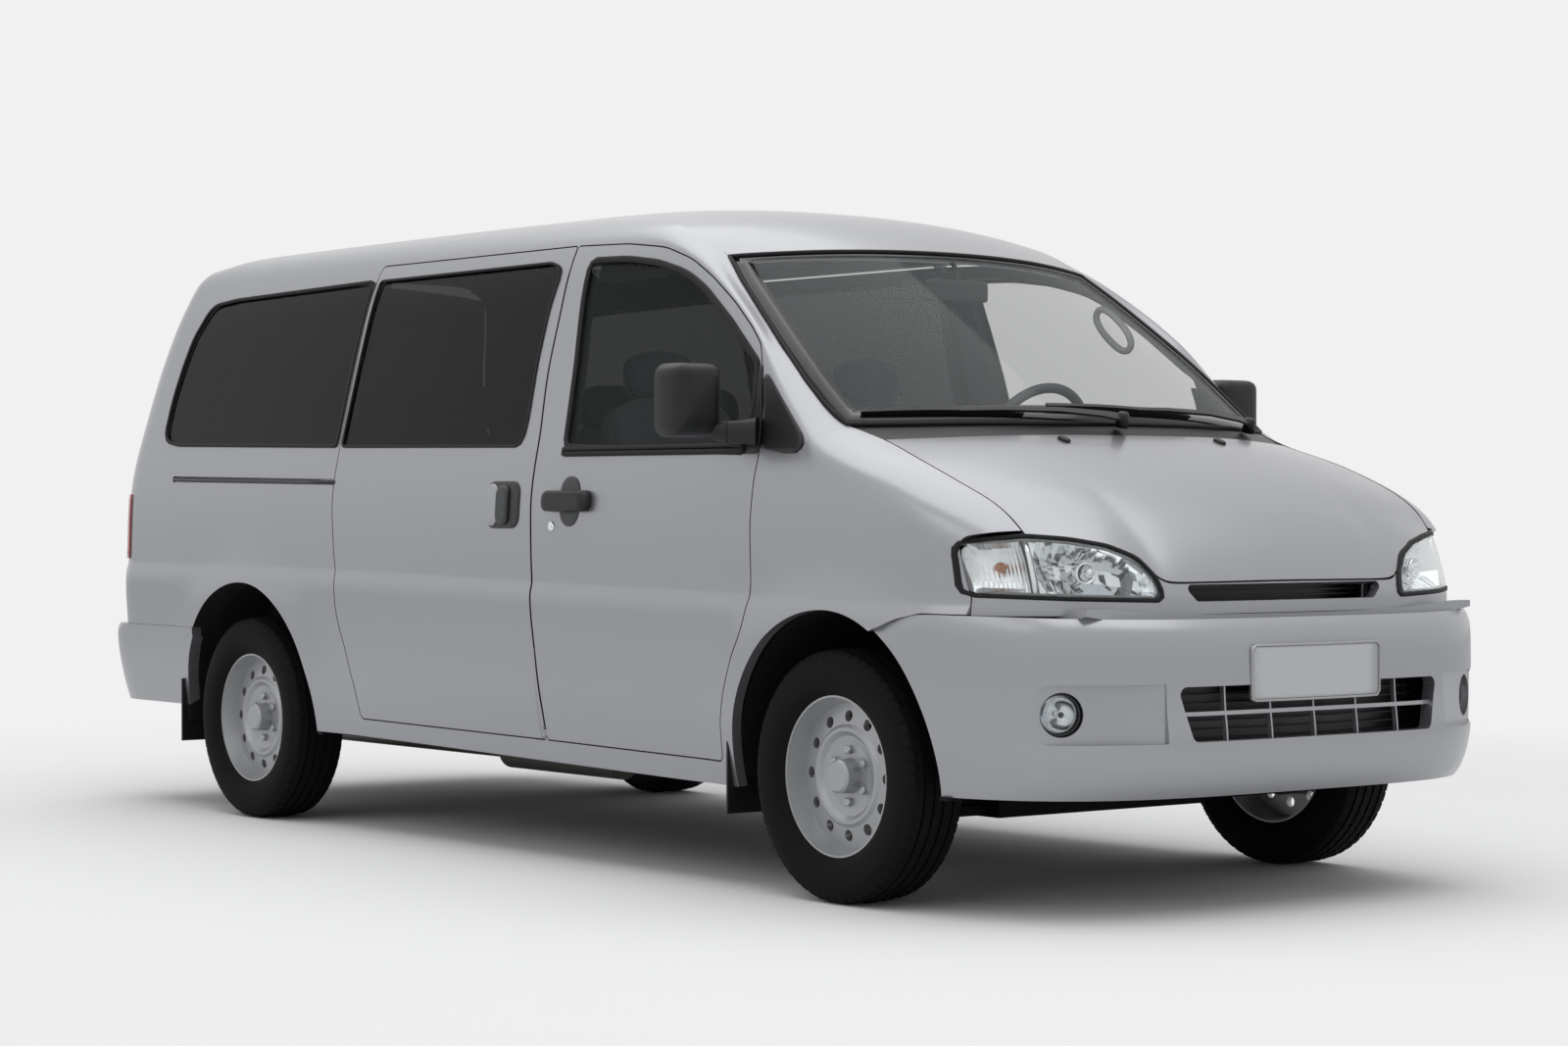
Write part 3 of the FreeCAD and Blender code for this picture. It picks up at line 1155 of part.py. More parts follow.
for side in (-1, 1):
    rail = size("rail_spacing") * 0.5
    half_rail = size("rail_width") * 0.5
    floor_blocks += [
        outer_block(side, fire_wall_x, nose_x + 40.0, rail - half_rail, rail + half_rail, floor_top - 20.0,
                    floor_top - 20.0 + size("rail_height")),
        outer_block(side, fire_wall_x, nose_x + 10.0, front_wall - plate, front_wall, floor_top, up(860.0)),
        outer_block(side, fire_wall_x, nose_x + 10.0, rail - half_rail, front_wall, floor_top, floor_top + plate),
        outer_block(side, nose_x - 60.0, nose_x, rail - half_rail - eye_reach * 2.0, rail - half_rail + 5.0,
                    floor_top - 20.0, floor_top - 20.0 + eye_plate),
        outer_block(side, tail_x + 50.0, tail_x + 110.0, rail, rail + eye_plate, rear_top - 80.0,
                    rear_top + 10.0),
        outer_block(side, tail_x + 50.0, tail_x + 110.0, rail, rail + eye_plate + eye_reach * 2.0,
                    rear_top - 80.0, rear_top - 80.0 + eye_plate),
        outer_block(side, along(420.0), along(1040.0), half_floor - 10.0, half_floor + 48.0, floor_top - 24.0,
                    floor_top + 50.0),
        outer_block(side, along(-640.0), along(180.0), half_floor - 10.0, half_floor + 48.0, floor_top - 24.0,
                    floor_top + 50.0),
        Part.makeCylinder(12.0, 260.0, Vector(along(2262.0), side * 430.0, up(765.0)))]
    for station in JACK_STATIONS:
        half_pad = size("jack_pad_length") * 0.5
        pad_y = half_floor - 50.0
        floor_blocks.append(outer_block(
            side, along(station) - half_pad, along(station) + half_pad, pad_y - size("jack_pad_width") * 0.5,
            pad_y + size("jack_pad_width") * 0.5, pan_bottom - size("jack_pad_height"), pan_bottom + 5.0))
floor = floor_blocks[0].fuse(floor_blocks[1:])
wells = ((rear_axle_x, size("rear_arch_radius"), rear_wall), (front_axle_x, size("arch_radius"), front_wall))
for side in (-1, 1):
    for axle_x, radius, wall in wells:
        start = Vector(axle_x, side * (wall - plate), arch_height)
        floor = floor.fuse(Part.makeCylinder(radius + plate, across(900.0) - wall, start, Vector(0, side, 0)))
for side in (-1, 1):
    for axle_x, radius, wall in wells:
        floor = floor.cut(arch_cylinder(axle_x, radius, side, wall))
        under = outer_block(side, axle_x - radius - 50.0, axle_x + radius + 50.0, wall - plate - 20.0, 1200.0,
                            -300.0, pan_bottom)
        floor = floor.cut(under)
    rail = size("rail_spacing") * 0.5
    eyes = ((nose_x - 30.0, rail - size("rail_width") * 0.5 - eye_reach, floor_top - 20.0),
            (tail_x + 80.0, rail + eye_plate + eye_reach, rear_top - 80.0))
    for x, y, z in eyes:
        floor = floor.cut(Part.makeCylinder(size("tow_eye_bore"), eye_plate + 8.0, Vector(x, side * y, z - 4.0)))
outside = [thick_skin(columns, 1.0, core, start=-120.0, side=1)
           for columns, core in ((bumper_columns(), NOSE_CORE), (face_columns(), NOSE_CORE),
                                 (rear_bumper_columns(), CABIN_CORE))]
for side in (-1, 1):
    outside.append(thick_skin(side_columns(-3000, 1300), 1.0, CABIN_CORE, start=-60.0, side=side))
    fender_rows = side_columns(FENDER_REAR - 60, FENDER_FRONT)
    outside.append(thick_skin(fender_rows, 1.0, NOSE_CORE, start=-60.0, side=side))
for layer in outside:
    floor = floor.cut(layer)
under_deck = block(rear_axle_x - 500.0, deck_start - 40.0, -rear_wall - 20.0, rear_wall + 20.0, 0.0, rear_top)
floor = floor.cut(under_deck)
for label in ("side_right", "side_left", "fender_right", "fender_left", "bumper_front", "bumper_rear",
              "grille_panel", "front_lamps", "hood", "tailgate", "door_right", "door_left", "sliding_door_right",
              "sliding_door_left"):
    floor = floor.cut(pieces[label].Shape)
keep("floor", max(floor.Solids, key=lambda solid: solid.Volume))

# Engine and gearbox as one block on the cross-member.
finish("engine", box("engine_block", FRONT_AXLE + " - 200", "0 - engine_width*0.5", "floor_height - 20",
                     "engine_length", "engine_width", "engine_height"))

# Fuel tank and exhaust, under the floor.
finish("fuel_tank", box("tank_block", "0 - 800", "90", "200", "700", "480", "96 - seam_gap"))
exhaust_members = [tube("exhaust_pipe", "0 - overall_length*0.5 + 60", "0 - 330", "240", "exhaust_radius",
                        "3200", ALONG_X),
                   tube("muffler", "0 - 700", "0 - 330", "240", "exhaust_radius*3 - 22", "620", ALONG_X),
                   box("hanger_front", "300", "0 - 335", "240", "20", "10", "56 - seam_gap"),
                   box("hanger_middle", "0 - 400", "0 - 335", "240", "20", "10", "56 - seam_gap"),
                   box("hanger_rear", "0 - 2200", "0 - 335", "240", "20", "10",
                       "rear_floor_height - 240 - seam_gap")]
finish("exhaust", joined("exhaust_parts", exhaust_members))
document.recompute()


# Mud flaps behind the wheels.
flaps = []
for x, z0, z1, carriers in ((1196.0, 203.0, 400.0, ("fender", "side")), (-1896.0, 229.0, 440.0, ("side",))):
    for side, name in SIDE_NAMES:
        y0, y1 = sorted((side * across(705.0), side * across(892.0)))
        flap = block(along(x), along(x) + size("flap_thickness"), y0, y1, z0, up(z1))
        for carrier in carriers:
            flap = flap.cut(pieces[f"{carrier}_{name}"].Shape)
        flap = flap.cut(pieces["bumper_rear"].Shape).cut(pieces["floor"].Shape)
        inner = [s for s in flap.Solids if s.BoundBox.ZMin < z0 + 5.0]
        flaps += inner
keep("mud_flaps", Part.makeCompound(flaps))

# The dashboard, from the fire wall back over the front passengers' knees.
DASH = [(1340, 1180, 30), (1640, 1182, 10), (1640, 1120, 10), (1340, 1120, 1), (1340, 700, 20), (1210, 700, 40),
        (1190, 900, 60), (1080, 1000, 50), (1060, 1110, 40), (1120, 1190, 50)]
dash_width = size("dash_width")
dash_points = [place(x, 0, z) for x, z, _ in DASH]
dash_face = Part.Face(rounded_wire(dash_points, [radius for _, _, radius in DASH]))
dash = dash_face.extrude(Vector(0, dash_width, 0)).translated(Vector(0, -dash_width * 0.5, 0))
STEER_CENTRE = (985.0, 400.0, 1200.0)
steer_axis = (Vector(1.0, 0, -0.45)).normalize()
steer_centre = place(*STEER_CENTRE)
column = Part.makeCylinder(24.0, 260.0, steer_centre + steer_axis * 36.0, steer_axis)
dash = dash.fuse(column)
for name in ("windshield", "side_right", "side_left", "floor", "cowl", "fender_right", "fender_left"):
    dash = dash.cut(pieces[name].Shape)
keep("dashboard", clean(dash))

radius = size("steering_wheel_radius")
wheel = Part.makeTorus(radius, size("steering_rim_radius"), steer_centre, steer_axis * -1.0)
hub = Part.makeCylinder(58.0, 40.0, steer_centre + steer_axis * (36.0 - 0.3 - 40.0), steer_axis)
wheel = wheel.fuse(hub)
cross = steer_axis.cross(Vector(0, 1, 0)).normalize()
for angle in (0.0, 120.0, 240.0):
    way = FreeCAD.Rotation(steer_axis, angle).multVec(cross * -1.0)
    spoke = Part.makeBox(30.0, radius - 5.0, 14.0, Vector(-15.0, 0, -7.0))
    facing = FreeCAD.Rotation(way.cross(steer_axis), way, steer_axis, "ZXY")
    frame = FreeCAD.Placement(steer_centre + steer_axis * 12.0, facing)
    spoke.Placement = frame
    wheel = wheel.fuse(spoke)
keep("steering_wheel", clean(wheel))


# Seats: a pedestal, a cushion and a raked back with a head restraint.
def seat(x, y, width, floor_z, cushion_z, back_top, rest_top):
    """Seat whose cushion's front edge is at x, as one solid."""
    depth, pad, back = size("seat_depth"), size("cushion_thickness"), size("back_thickness")
    base = block(x - depth + 60.0, x - 60.0, y - width * 0.4, y + width * 0.4, floor_z + size("seam_gap"),
                 cushion_z - pad + 5.0)
    cushion = block(x - depth, x, y - width * 0.5, y + width * 0.5, cushion_z - pad, cushion_z)
    profile = [Vector(x - depth + 40.0, 0, cushion_z - pad), Vector(x - depth - back * 0.6, 0, cushion_z - pad),
               Vector(x - depth - back - 90.0, 0, back_top), Vector(x - depth - 70.0, 0, back_top)]
    rest = Part.Face(rounded_wire(profile, [30.0, 30.0, 40.0, 40.0]))
    rest = rest.extrude(Vector(0, width, 0)).translated(Vector(0, y - width * 0.5, 0))
    solid = base.fuse([cushion, rest])
    count = max(1, round(width / 560.0))
    for index in range(count):
        centre = y + (index - (count - 1) / 2.0) * width / count
        rear = x - depth - back
        post = block(rear - 40.0, rear - 20.0, centre - 60.0, centre + 60.0, back_top - 20.0, back_top + 50.0)
        pad_points = [Vector(rear - 85.0, 0, back_top + 20.0), Vector(rear - 95.0, 0, rest_top),
                      Vector(rear + 5.0, 0, rest_top), Vector(rear + 15.0, 0, back_top + 20.0)]
        head = Part.Face(rounded_wire(pad_points, [30.0] * 4)).extrude(Vector(0, 240.0, 0))
        solid = solid.fuse([post, head.translated(Vector(0, centre - 120.0, 0))])
    return solid


seat_half = size("seat_width")
front_seats = [seat(along(790.0), side * across(400.0), seat_half, floor_top, up(850.0), up(1360.0), up(1525.0))
               for side in (-1, 1)]
keep("front_seats", Part.makeCompound(front_seats))
bench = size("bench_width")
rear_seats = [seat(along(-60.0), 0.0, bench, floor_top, up(830.0), up(1290.0), up(1440.0)),
              seat(along(-1130.0), 0.0, bench - 40.0, rear_top + plate, up(830.0), up(1290.0), up(1440.0))]
keep("rear_seats", Part.makeCompound(rear_seats))


# Mirrors: a housing on an arm that stands on the front corner of each door.
MIRROR = (1140.0, 1250.0, 930.0, 1090.0, 1210.0, 1407.0)
for side, name in SIDE_NAMES:
    x0, x1, y0, y1, z0, z1 = MIRROR
    housing = outer_block(side, along(x0), along(x1), across(y0), across(y1), up(z0), up(z1))
    housing = housing.makeFillet(26.0, housing.Edges)
    foot = outer_block(side, along(1264.0), along(1298.0), across(838.0), across(905.0), up(1206.0), up(1246.0))
    foot = foot.cut(pieces[f"door_{name}"].Shape)
    arm = outer_block(side, along(1200.0), along(1298.0), across(900.0), across(960.0), up(1206.0), up(1246.0))
    mirror = housing.fuse([foot, arm])
    keep(f"mirror_{name}", max(mirror.Solids, key=lambda solid: solid.Volume))


# Wipers: two arms with blades, parked along the cowl.
def bar(start, end, width, height):
    """Straight bar between two real points."""
    way = end - start
    solid = Part.makeBox(width, height, way.Length, Vector(-width * 0.5, 0, 0))
    upward = Vector(0, 0, 1)
    solid.Placement = FreeCAD.Placement(start, FreeCAD.Rotation(way.cross(upward), upward, way, "ZXY"))
    return solid


def over_glass(share, down, lift):
    """Real point over the windshield."""
    x, y, z = windshield_point(share, down)
    return place(x, y, z) + Vector(0.55, 0, 0.83) * lift


WIPERS = [((-0.92, 0.9), (-0.18, 0.93), (-0.55, 0.92), (-0.05, 1.0)),
          ((-0.1, 0.91), (0.66, 0.93), (0.28, 0.92), (0.75, 1.0))]
wiper_shapes = []
for tip, heel, middle, pivot in WIPERS:
    blade = bar(over_glass(*tip, 10.0), over_glass(*heel, 10.0), 12.0, 14.0)
    arm = bar(over_glass(*middle, 20.0), over_glass(*pivot, 22.0), 14.0, 10.0)
    post_top = over_glass(*pivot, 34.0)
    post = Part.makeCylinder(12.0, 80.0, post_top - Vector(0, 0, 78.0))
    wiper = blade.fuse([arm, post]).cut(pieces["windshield"].Shape).cut(pieces["cowl"].Shape)
    wiper_shapes += [s for s in wiper.Solids if s.BoundBox.ZMax > post_top.z - 20.0][:1]
keep("wipers", Part.makeCompound(wiper_shapes))

document.recompute()
for label, piece in pieces.items():
    if "Invalid" in piece.State or "Error" in piece.State:
        raise RuntimeError(f"{label} did not build: {piece.State}")
    if piece.Shape.isNull() or not piece.Shape.isValid():
        raise RuntimeError(f"{label} has no valid shape")
os.makedirs("parts", exist_ok=True)
for label, piece in pieces.items():
    piece.Shape.exportStep(f"parts/{label}.step")
    bound = piece.Shape.BoundBox
    print(label, len(piece.Shape.Solids), round(piece.Shape.Volume / 1e6, 2),
          [round(v) for v in (bound.XMin, bound.XMax, bound.YMin, bound.YMax, bound.ZMin, bound.ZMax)])
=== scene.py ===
# %% [markdown]
# # A long silver minivan
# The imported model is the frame: its panels, doors, wheels and glass are solids with true sizes, and they stay
# as they are. This script gives them paint, glass, rubber and cloth, and adds the small pieces that the frame
# leaves out: seals, lamps, handles, tyre tread, seat pads and trim. Lengths are metres. Outlines drawn on a
# panel are in millimetres, because whole numbers are easier to read and to change.

# %% Setup
import math

import bmesh
import bpy
from mathutils import Matrix, Vector
from mathutils.bvhtree import BVHTree


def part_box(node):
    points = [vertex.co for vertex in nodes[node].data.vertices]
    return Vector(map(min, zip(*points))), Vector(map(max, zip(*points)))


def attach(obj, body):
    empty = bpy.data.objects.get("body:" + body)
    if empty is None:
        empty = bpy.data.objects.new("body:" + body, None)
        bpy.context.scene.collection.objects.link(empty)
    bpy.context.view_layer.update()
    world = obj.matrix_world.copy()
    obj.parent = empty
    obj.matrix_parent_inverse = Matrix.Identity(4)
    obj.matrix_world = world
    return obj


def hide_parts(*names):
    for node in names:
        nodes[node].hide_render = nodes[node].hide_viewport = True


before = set(bpy.data.objects)
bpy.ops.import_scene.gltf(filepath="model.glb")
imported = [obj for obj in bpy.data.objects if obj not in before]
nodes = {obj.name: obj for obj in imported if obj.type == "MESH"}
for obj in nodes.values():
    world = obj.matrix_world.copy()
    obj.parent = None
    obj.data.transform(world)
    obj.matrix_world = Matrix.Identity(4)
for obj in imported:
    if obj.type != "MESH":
        bpy.data.objects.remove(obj)
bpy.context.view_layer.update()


# %% [markdown]
# ## Materials
# A finish is how a surface was made: flake paint under lacquer, moulded plastic, cast metal, woven cloth. Each
# one here is a Principled shader, which covers metal, glass and rubber with one set of sliders, so that two
# finishes differ only in their numbers. Colours are written as sRGB hex values, as a paint shop would note
# them, and one function turns them into the linear light that Blender calculates with.

# %% Colour and node helpers
def colour(hexa):
    """An sRGB hex value as linear red, green, blue and a full alpha."""
    parts = [int(hexa[i:i + 2], 16) / 255.0 for i in (0, 2, 4)]
    return tuple(p / 12.92 if p <= 0.04045 else ((p + 0.055) / 1.055) ** 2.4 for p in parts) + (1.0,)


def add_node(tree, kind, inputs=None, **settings):
    """Adds a node; an input takes a value, or another node's socket to be linked to."""
    node = tree.nodes.new(kind)
    for key, value in settings.items():
        setattr(node, key, value)
    for key, value in (inputs or {}).items():
        socket = node.inputs[key]
        if isinstance(value, bpy.types.NodeSocket):
            tree.links.new(value, socket)
        else:
            socket.default_value = value
    return node


def material(name, hexa, rough, metal=0.0, **sockets):
    """A Principled material; more of its inputs are given by name, with _ for each space."""
    finish = bpy.data.materials.new(name)
    finish.use_nodes = True
    tree = finish.node_tree
    tree.nodes.clear()
    shader = add_node(tree, "ShaderNodeBsdfPrincipled",
                      {"Base Color": colour(hexa), "Roughness": rough, "Metallic": metal})
    for key, value in sockets.items():
        shader.inputs[key.replace("_", " ")].default_value = value
    output = add_node(tree, "ShaderNodeOutputMaterial", {"Surface": shader.outputs[0]})
    finish["shader"] = shader.name
    output.location = (300, 0)
    return finish


def grain(finish, size_mm, depth_mm, detail=2.0, strength=1.0):
    """Fine bumps of a real size, from the object's own coordinates."""
    tree = finish.node_tree
    shader = tree.nodes[finish["shader"]]
    place = add_node(tree, "ShaderNodeTexCoord")
    noise = add_node(tree, "ShaderNodeTexNoise", {"Vector": place.outputs["Object"], "Scale": 1000.0 / size_mm,
                                                  "Detail": detail})
    bump = add_node(tree, "ShaderNodeBump", {"Height": noise.outputs["Fac"], "Distance": depth_mm / 1000.0,
                                             "Strength": strength})
    tree.links.new(bump.outputs["Normal"], shader.inputs["Normal"])
    return finish


print("a middle grey in linear light:", round(colour("808080")[0], 3))

# %% Paint and bright metal
# Aluminium flake in a sprayed base under clear lacquer: a soft metal sheen with a sharper gloss on top. The
# real flake is near 0.05 mm, too fine to show here, so it is drawn at 0.6 mm and kept very faint.
paint = material("silver_metallic_paint", "A0A1A5", 0.33, 0.80, Coat_Weight=0.3, Coat_Roughness=0.14)
grain(paint, 0.6, 0.01, strength=0.15)
# Sprayed wheels: less flake and a thinner lacquer, so they look greyer and flatter than the body.
wheel_paint = material("wheel_silver_paint", "A2A3A5", 0.36, 0.5, Coat_Weight=0.15)
# Chrome over nickel: a near mirror with hard edges in what it reflects.
chrome = material("chrome_plate", "E6E8EA", 0.06, 1.0)
# Aluminium laid on moulded plastic in a vacuum: as bright as chrome, a touch softer.
reflector = material("aluminised_reflector", "E9EBED", 0.09, 1.0)
# The same metal over fine moulded ribs about 3 mm apart, which break the light into sparkle.
ribbed_reflector = grain(material("ribbed_reflector", "E4E6E8", 0.16, 0.85), 3.0, 0.6)
# Silvered glass in the door mirrors: the smoothest surface on the car.
mirror_glass = material("mirror_glass", "DDE0E2", 0.02, 1.0)
# Thin zinc on pressed or drawn steel: bright but slightly grey.
steel = material("zinc_plated_steel", "A9ABAD", 0.3, 0.9)
# Sheet with a satin coat, for the two blank plates: pale, with a wide weak highlight.
plate_silver = material("satin_number_plate", "B9BABC", 0.42, 0.25)
# Hot-dipped exhaust sheet that has been hot since: dull, with patches of about 4 mm.
exhaust_steel = grain(material("aluminised_steel", "6E6B68", 0.5, 0.8), 4.0, 0.1)
# Sand casting leaves a coarse skin, 3 mm for iron and 2 mm for aluminium, that scatters the light.
cast_iron = grain(material("cast_iron", "4A4A4B", 0.6, 0.6), 3.0, 0.2)
cast_aluminium = grain(material("cast_aluminium", "8B8C8D", 0.5, 0.8), 2.0, 0.2)

# %% [markdown]
# Window glass could be drawn with transmission, as a lens is. Seen through a whole cabin that leaves the inside
# dark and speckled, so the panes use alpha instead: part of the light passes straight through, and the rest
# meets a glossy tinted surface. Only the lamps' thick lenses keep real transmission.

# %% Glass and lamp plastics
# Glass dyed in the melt behind the front doors: almost black from outside, with a thin view of the cabin.
dark_glass = material("tinted_privacy_glass", "090A0B", 0.02, IOR=1.5, Specular_IOR_Level=0.14, Alpha=0.82)
# Tempered float glass of the front doors: a faint green-grey cast.
door_glass = material("green_tinted_glass", "2C3232", 0.02, IOR=1.5, Specular_IOR_Level=0.3, Alpha=0.16)
# Two panes with a film between them: a little more tint and a stronger reflection of the sky.
clear_glass = material("laminated_windshield_glass", "5A6062", 0.02, IOR=1.5, Specular_IOR_Level=0.6, Alpha=0.20)
# Moulded lamp lens with a hard coat: clear, and it bends light more than glass does.
lamp_glass = material("clear_polycarbonate", "F4F6F6", 0.02, IOR=1.58, Transmission_Weight=1.0)
# Glass paint fired on the rim of the windshield: deep black under a gloss.
frit = material("black_ceramic_frit", "0C0D0E", 0.12, IOR=1.5)
# Dyed plastic of the tail lamps: it glows a little where light gets in, and has a polished face.
lamp_red = material("red_lamp_lens", "A0141A", 0.08, IOR=1.5, Transmission_Weight=0.25, Coat_Weight=0.5)
# Lacquered bulb glass of the indicators: warm amber, half clear.
amber = material("amber_bulb_glass", "E07A1C", 0.15, Transmission_Weight=0.4)
# Moulded housings and bezels in the lamps: smooth, one nearly black and one silvery.
lamp_black = material("lamp_housing_plastic", "1B1C1E", 0.35)
lamp_bezel = material("lamp_bezel_plastic", "8E9193", 0.25, 0.3)

# %% Rubber and plastics
# Extruded sealing rubber: near black, with a dull skin of under a millimetre's grain.
rubber = grain(material("epdm_rubber", "0B0C0D", 0.6, Specular_IOR_Level=0.3), 0.8, 0.05)
# Moulded from an etched tool, which gives trim its fine leathery grain and soft highlights.
black_plastic = grain(material("grained_polypropylene", "101112", 0.42, Specular_IOR_Level=0.4), 0.9, 0.06)
dark_satin = grain(material("satin_black_plastic", "2E3032", 0.4), 0.8, 0.04)
# Sprayed wax and paint under the floor: it swallows nearly all light.
soft_black = grain(material("underbody_paint", "0E0E0F", 0.8, Specular_IOR_Level=0.2), 2.0, 0.1)
# Cured in a mould and filled with soot: black without gloss.
tyre_rubber = grain(material("tyre_rubber", "0C0D0E", 0.75, Specular_IOR_Level=0.13), 1.2, 0.05)

# %% Cabin materials
# Grey mouldings, and a foam skin on the dashboard that is kept dull so that it won't show in the windshield.
cabin_plastic = grain(material("cabin_polypropylene", "5C5E61", 0.62), 1.0, 0.02)
dash_plastic = grain(material("dashboard_soft_foam", "3A3C3F", 0.7), 1.2, 0.02)
# Pressed felt under the roof, pale so that the cabin stays light.
headliner = grain(material("headliner_felt", "B4B5B5", 0.9), 1.5, 0.04)
# Woven seat cover: threads near 0.5 mm are too fine to show, so the weave is drawn at 2.4 mm.
cloth = grain(material("seat_cloth", "4D5157", 0.92, Sheen_Weight=0.3), 2.4, 0.08, 4.0)
# Needled carpet: tufts of about 3 mm and no shine at all.
carpet = grain(material("floor_carpet", "2B2C2E", 0.95), 3.0, 0.12)

# %% [markdown]
# ## Giving the frame its materials
# A door's pressing is one solid, but it is painted outside, trimmed inside and black rubber at the edges that
# face into a shut line: partly the real seals, partly painted shade of the gap. Splitting it would change the
# frame, so each polygon picks one of the three slots from the way it faces and where it is.

# %% Materials of the frame's own nodes
LOOKS = {
    "side_right": paint, "side_left": paint, "roof": paint, "fender_right": paint, "fender_left": paint,
    "hood": paint, "grille_panel": paint, "bumper_front": paint, "bumper_rear": paint, "door_right": paint,
    "door_left": paint, "sliding_door_right": paint, "sliding_door_left": paint, "tailgate": paint,
    "windshield": clear_glass, "door_glass_right": door_glass, "door_glass_left": door_glass,
    "side_glass": dark_glass, "tailgate_glass": dark_glass, "cowl": black_plastic, "wipers": black_plastic,
    "mirror_right": black_plastic, "mirror_left": black_plastic, "mud_flaps": rubber, "front_lamps": lamp_glass,
    "tail_lamps": lamp_red, "dashboard": dash_plastic, "steering_wheel": cabin_plastic, "front_seats": cloth,
    "rear_seats": cloth, "engine": cast_aluminium, "rear_axle": soft_black, "front_suspension": soft_black,
    "fuel_tank": soft_black, "knuckle_right": cast_iron, "knuckle_left": cast_iron, "exhaust": exhaust_steel,
    "floor": soft_black,
}
PANEL_NAMES = ("side_right", "side_left", "door_right", "door_left", "sliding_door_right", "sliding_door_left",
               "tailgate", "hood", "fender_right", "fender_left", "roof", "floor")
BEAM_X, BEAM_Z = 2.2, 0.70             # the floor's front beam lies beyond these, shows over the bumper and is painted
CARPET_FRONT, CARPET_HALF = 1.3, 0.76  # carpet covers the floor's upper faces within these
CABIN_FRONT = 1.28                     # trim ends here, at the foot of the windshield
DECK_X, SILL_Z, DECK_Z = -0.95, 0.34, 0.86  # behind this X the wheel housings lift the trim's lower edge
SIDE_OUT = 0.70                        # only faces this far out can lie in a shut line
# Between these heights the edges in shut lines are black: partly the rubber seals, partly painted shade of the gaps.
SHUT_FOOT, SHUT_BELT, SHUT_HEAD = 0.62, 1.15, 1.70  # shut lines show rubber between these heights


def panel_look(name, polygon):
    """The slot of a panel's face: 0 outside, 1 towards the cabin, 2 the edge in a shut line, black as seal and painted
    shade.
    """
    normal, centre = polygon.normal, polygon.center
    if name == "floor":
        if centre.x > BEAM_X and centre.z > BEAM_Z:
            return 2
        return 1 if normal.z > 0.5 and centre.x < CARPET_FRONT and abs(centre.y) < CARPET_HALF else 0
    if name == "roof":
        return 1 if normal.z < -0.3 else 0
    # The hood's upright side edges are black: painted shade of its shut lines to the fenders.
    if name == "hood":
        return 2 if abs(normal.z) < 0.25 and centre.z > 0.80 and abs(centre.y) > 0.05 else 0
    if name == "tailgate":
        return 1 if normal.x > 0.3 else 0
    outward = normal.y * centre.y / max(0.05, abs(centre.y))
    if name.startswith("fender"):
        return 2 if outward < -0.35 else 0
    if outward < -0.35:
        return 1 if centre.x < CABIN_FRONT and centre.z > (SILL_Z if centre.x > DECK_X else DECK_Z) else 2
    # Faces across a shut line are black: partly the door seals, partly painted shade of the gap.
    edge = abs(outward) < 0.22 and abs(centre.y) > SIDE_OUT
    if name.startswith("side"):
        return 2 if edge and SHUT_FOOT < centre.z < SHUT_BELT and centre.x < 1.29 else 0
    return 2 if edge and SHUT_FOOT < centre.z < SHUT_HEAD else 0


print("nodes with a finish of their own:", len(LOOKS))

# %% Painting the nodes
for name, node in nodes.items():
    look = LOOKS.get(name) or (tyre_rubber if name.startswith("tyre") else wheel_paint)
    node.data.materials.clear()
    node.data.materials.append(look)
    if name in PANEL_NAMES:
        inner = {"roof": headliner, "floor": carpet}.get(name, cabin_plastic)
        node.data.materials.append(inner)
        # Third slot: body paint on the floor's beam; elsewhere black rubber, which in shut lines is partly seal and
        # partly painted shade.
        node.data.materials.append(paint if name == "floor" else rubber)
        for polygon in node.data.polygons:
            polygon.material_index = panel_look(name, polygon)
print("panels with three faces:", len(PANEL_NAMES))

# %% [markdown]
# ## Tools for pieces that follow the body's skin
# Seals, handles and trim are moulded to the curve of the panel that they sit on. They could be modelled flat and
# bent with a Shrinkwrap modifier. Here each point is found by a ray cast at the frame's own nodes, because a
# ray gives the exact place on the panel, works for any outline and leaves no modifier behind.

# %% Mesh helpers
def build(name, points, faces, look, body, smooth=True):
    """A mesh object in the row frame that rides on a body."""
    mesh = bpy.data.meshes.new(name)
    mesh.from_pydata([tuple(p) for p in points], [], faces)
    shape = bmesh.new()
    shape.from_mesh(mesh)
    bmesh.ops.recalc_face_normals(shape, faces=shape.faces)
    shape.to_mesh(mesh)
    shape.free()
    mesh.materials.append(look)
    mesh.polygons.foreach_set("use_smooth", [smooth] * len(mesh.polygons))
    mesh.update()
    piece = bpy.data.objects.new(name, mesh)
    bpy.context.scene.collection.objects.link(piece)
    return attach(piece, body)


def grid_faces(rows, columns, offset=0, closed=False, flip=False):
    """Four-sided faces between rows of points; a closed grid joins its last column to its first."""
    faces = []
    for i in range(rows - 1):
        for j in range(columns if closed else columns - 1):
            k = (j + 1) % columns
            face = (offset + i * columns + j, offset + i * columns + k, offset + (i + 1) * columns + k,
                    offset + (i + 1) * columns + j)
            faces.append(face[::-1] if flip else face)
    return faces


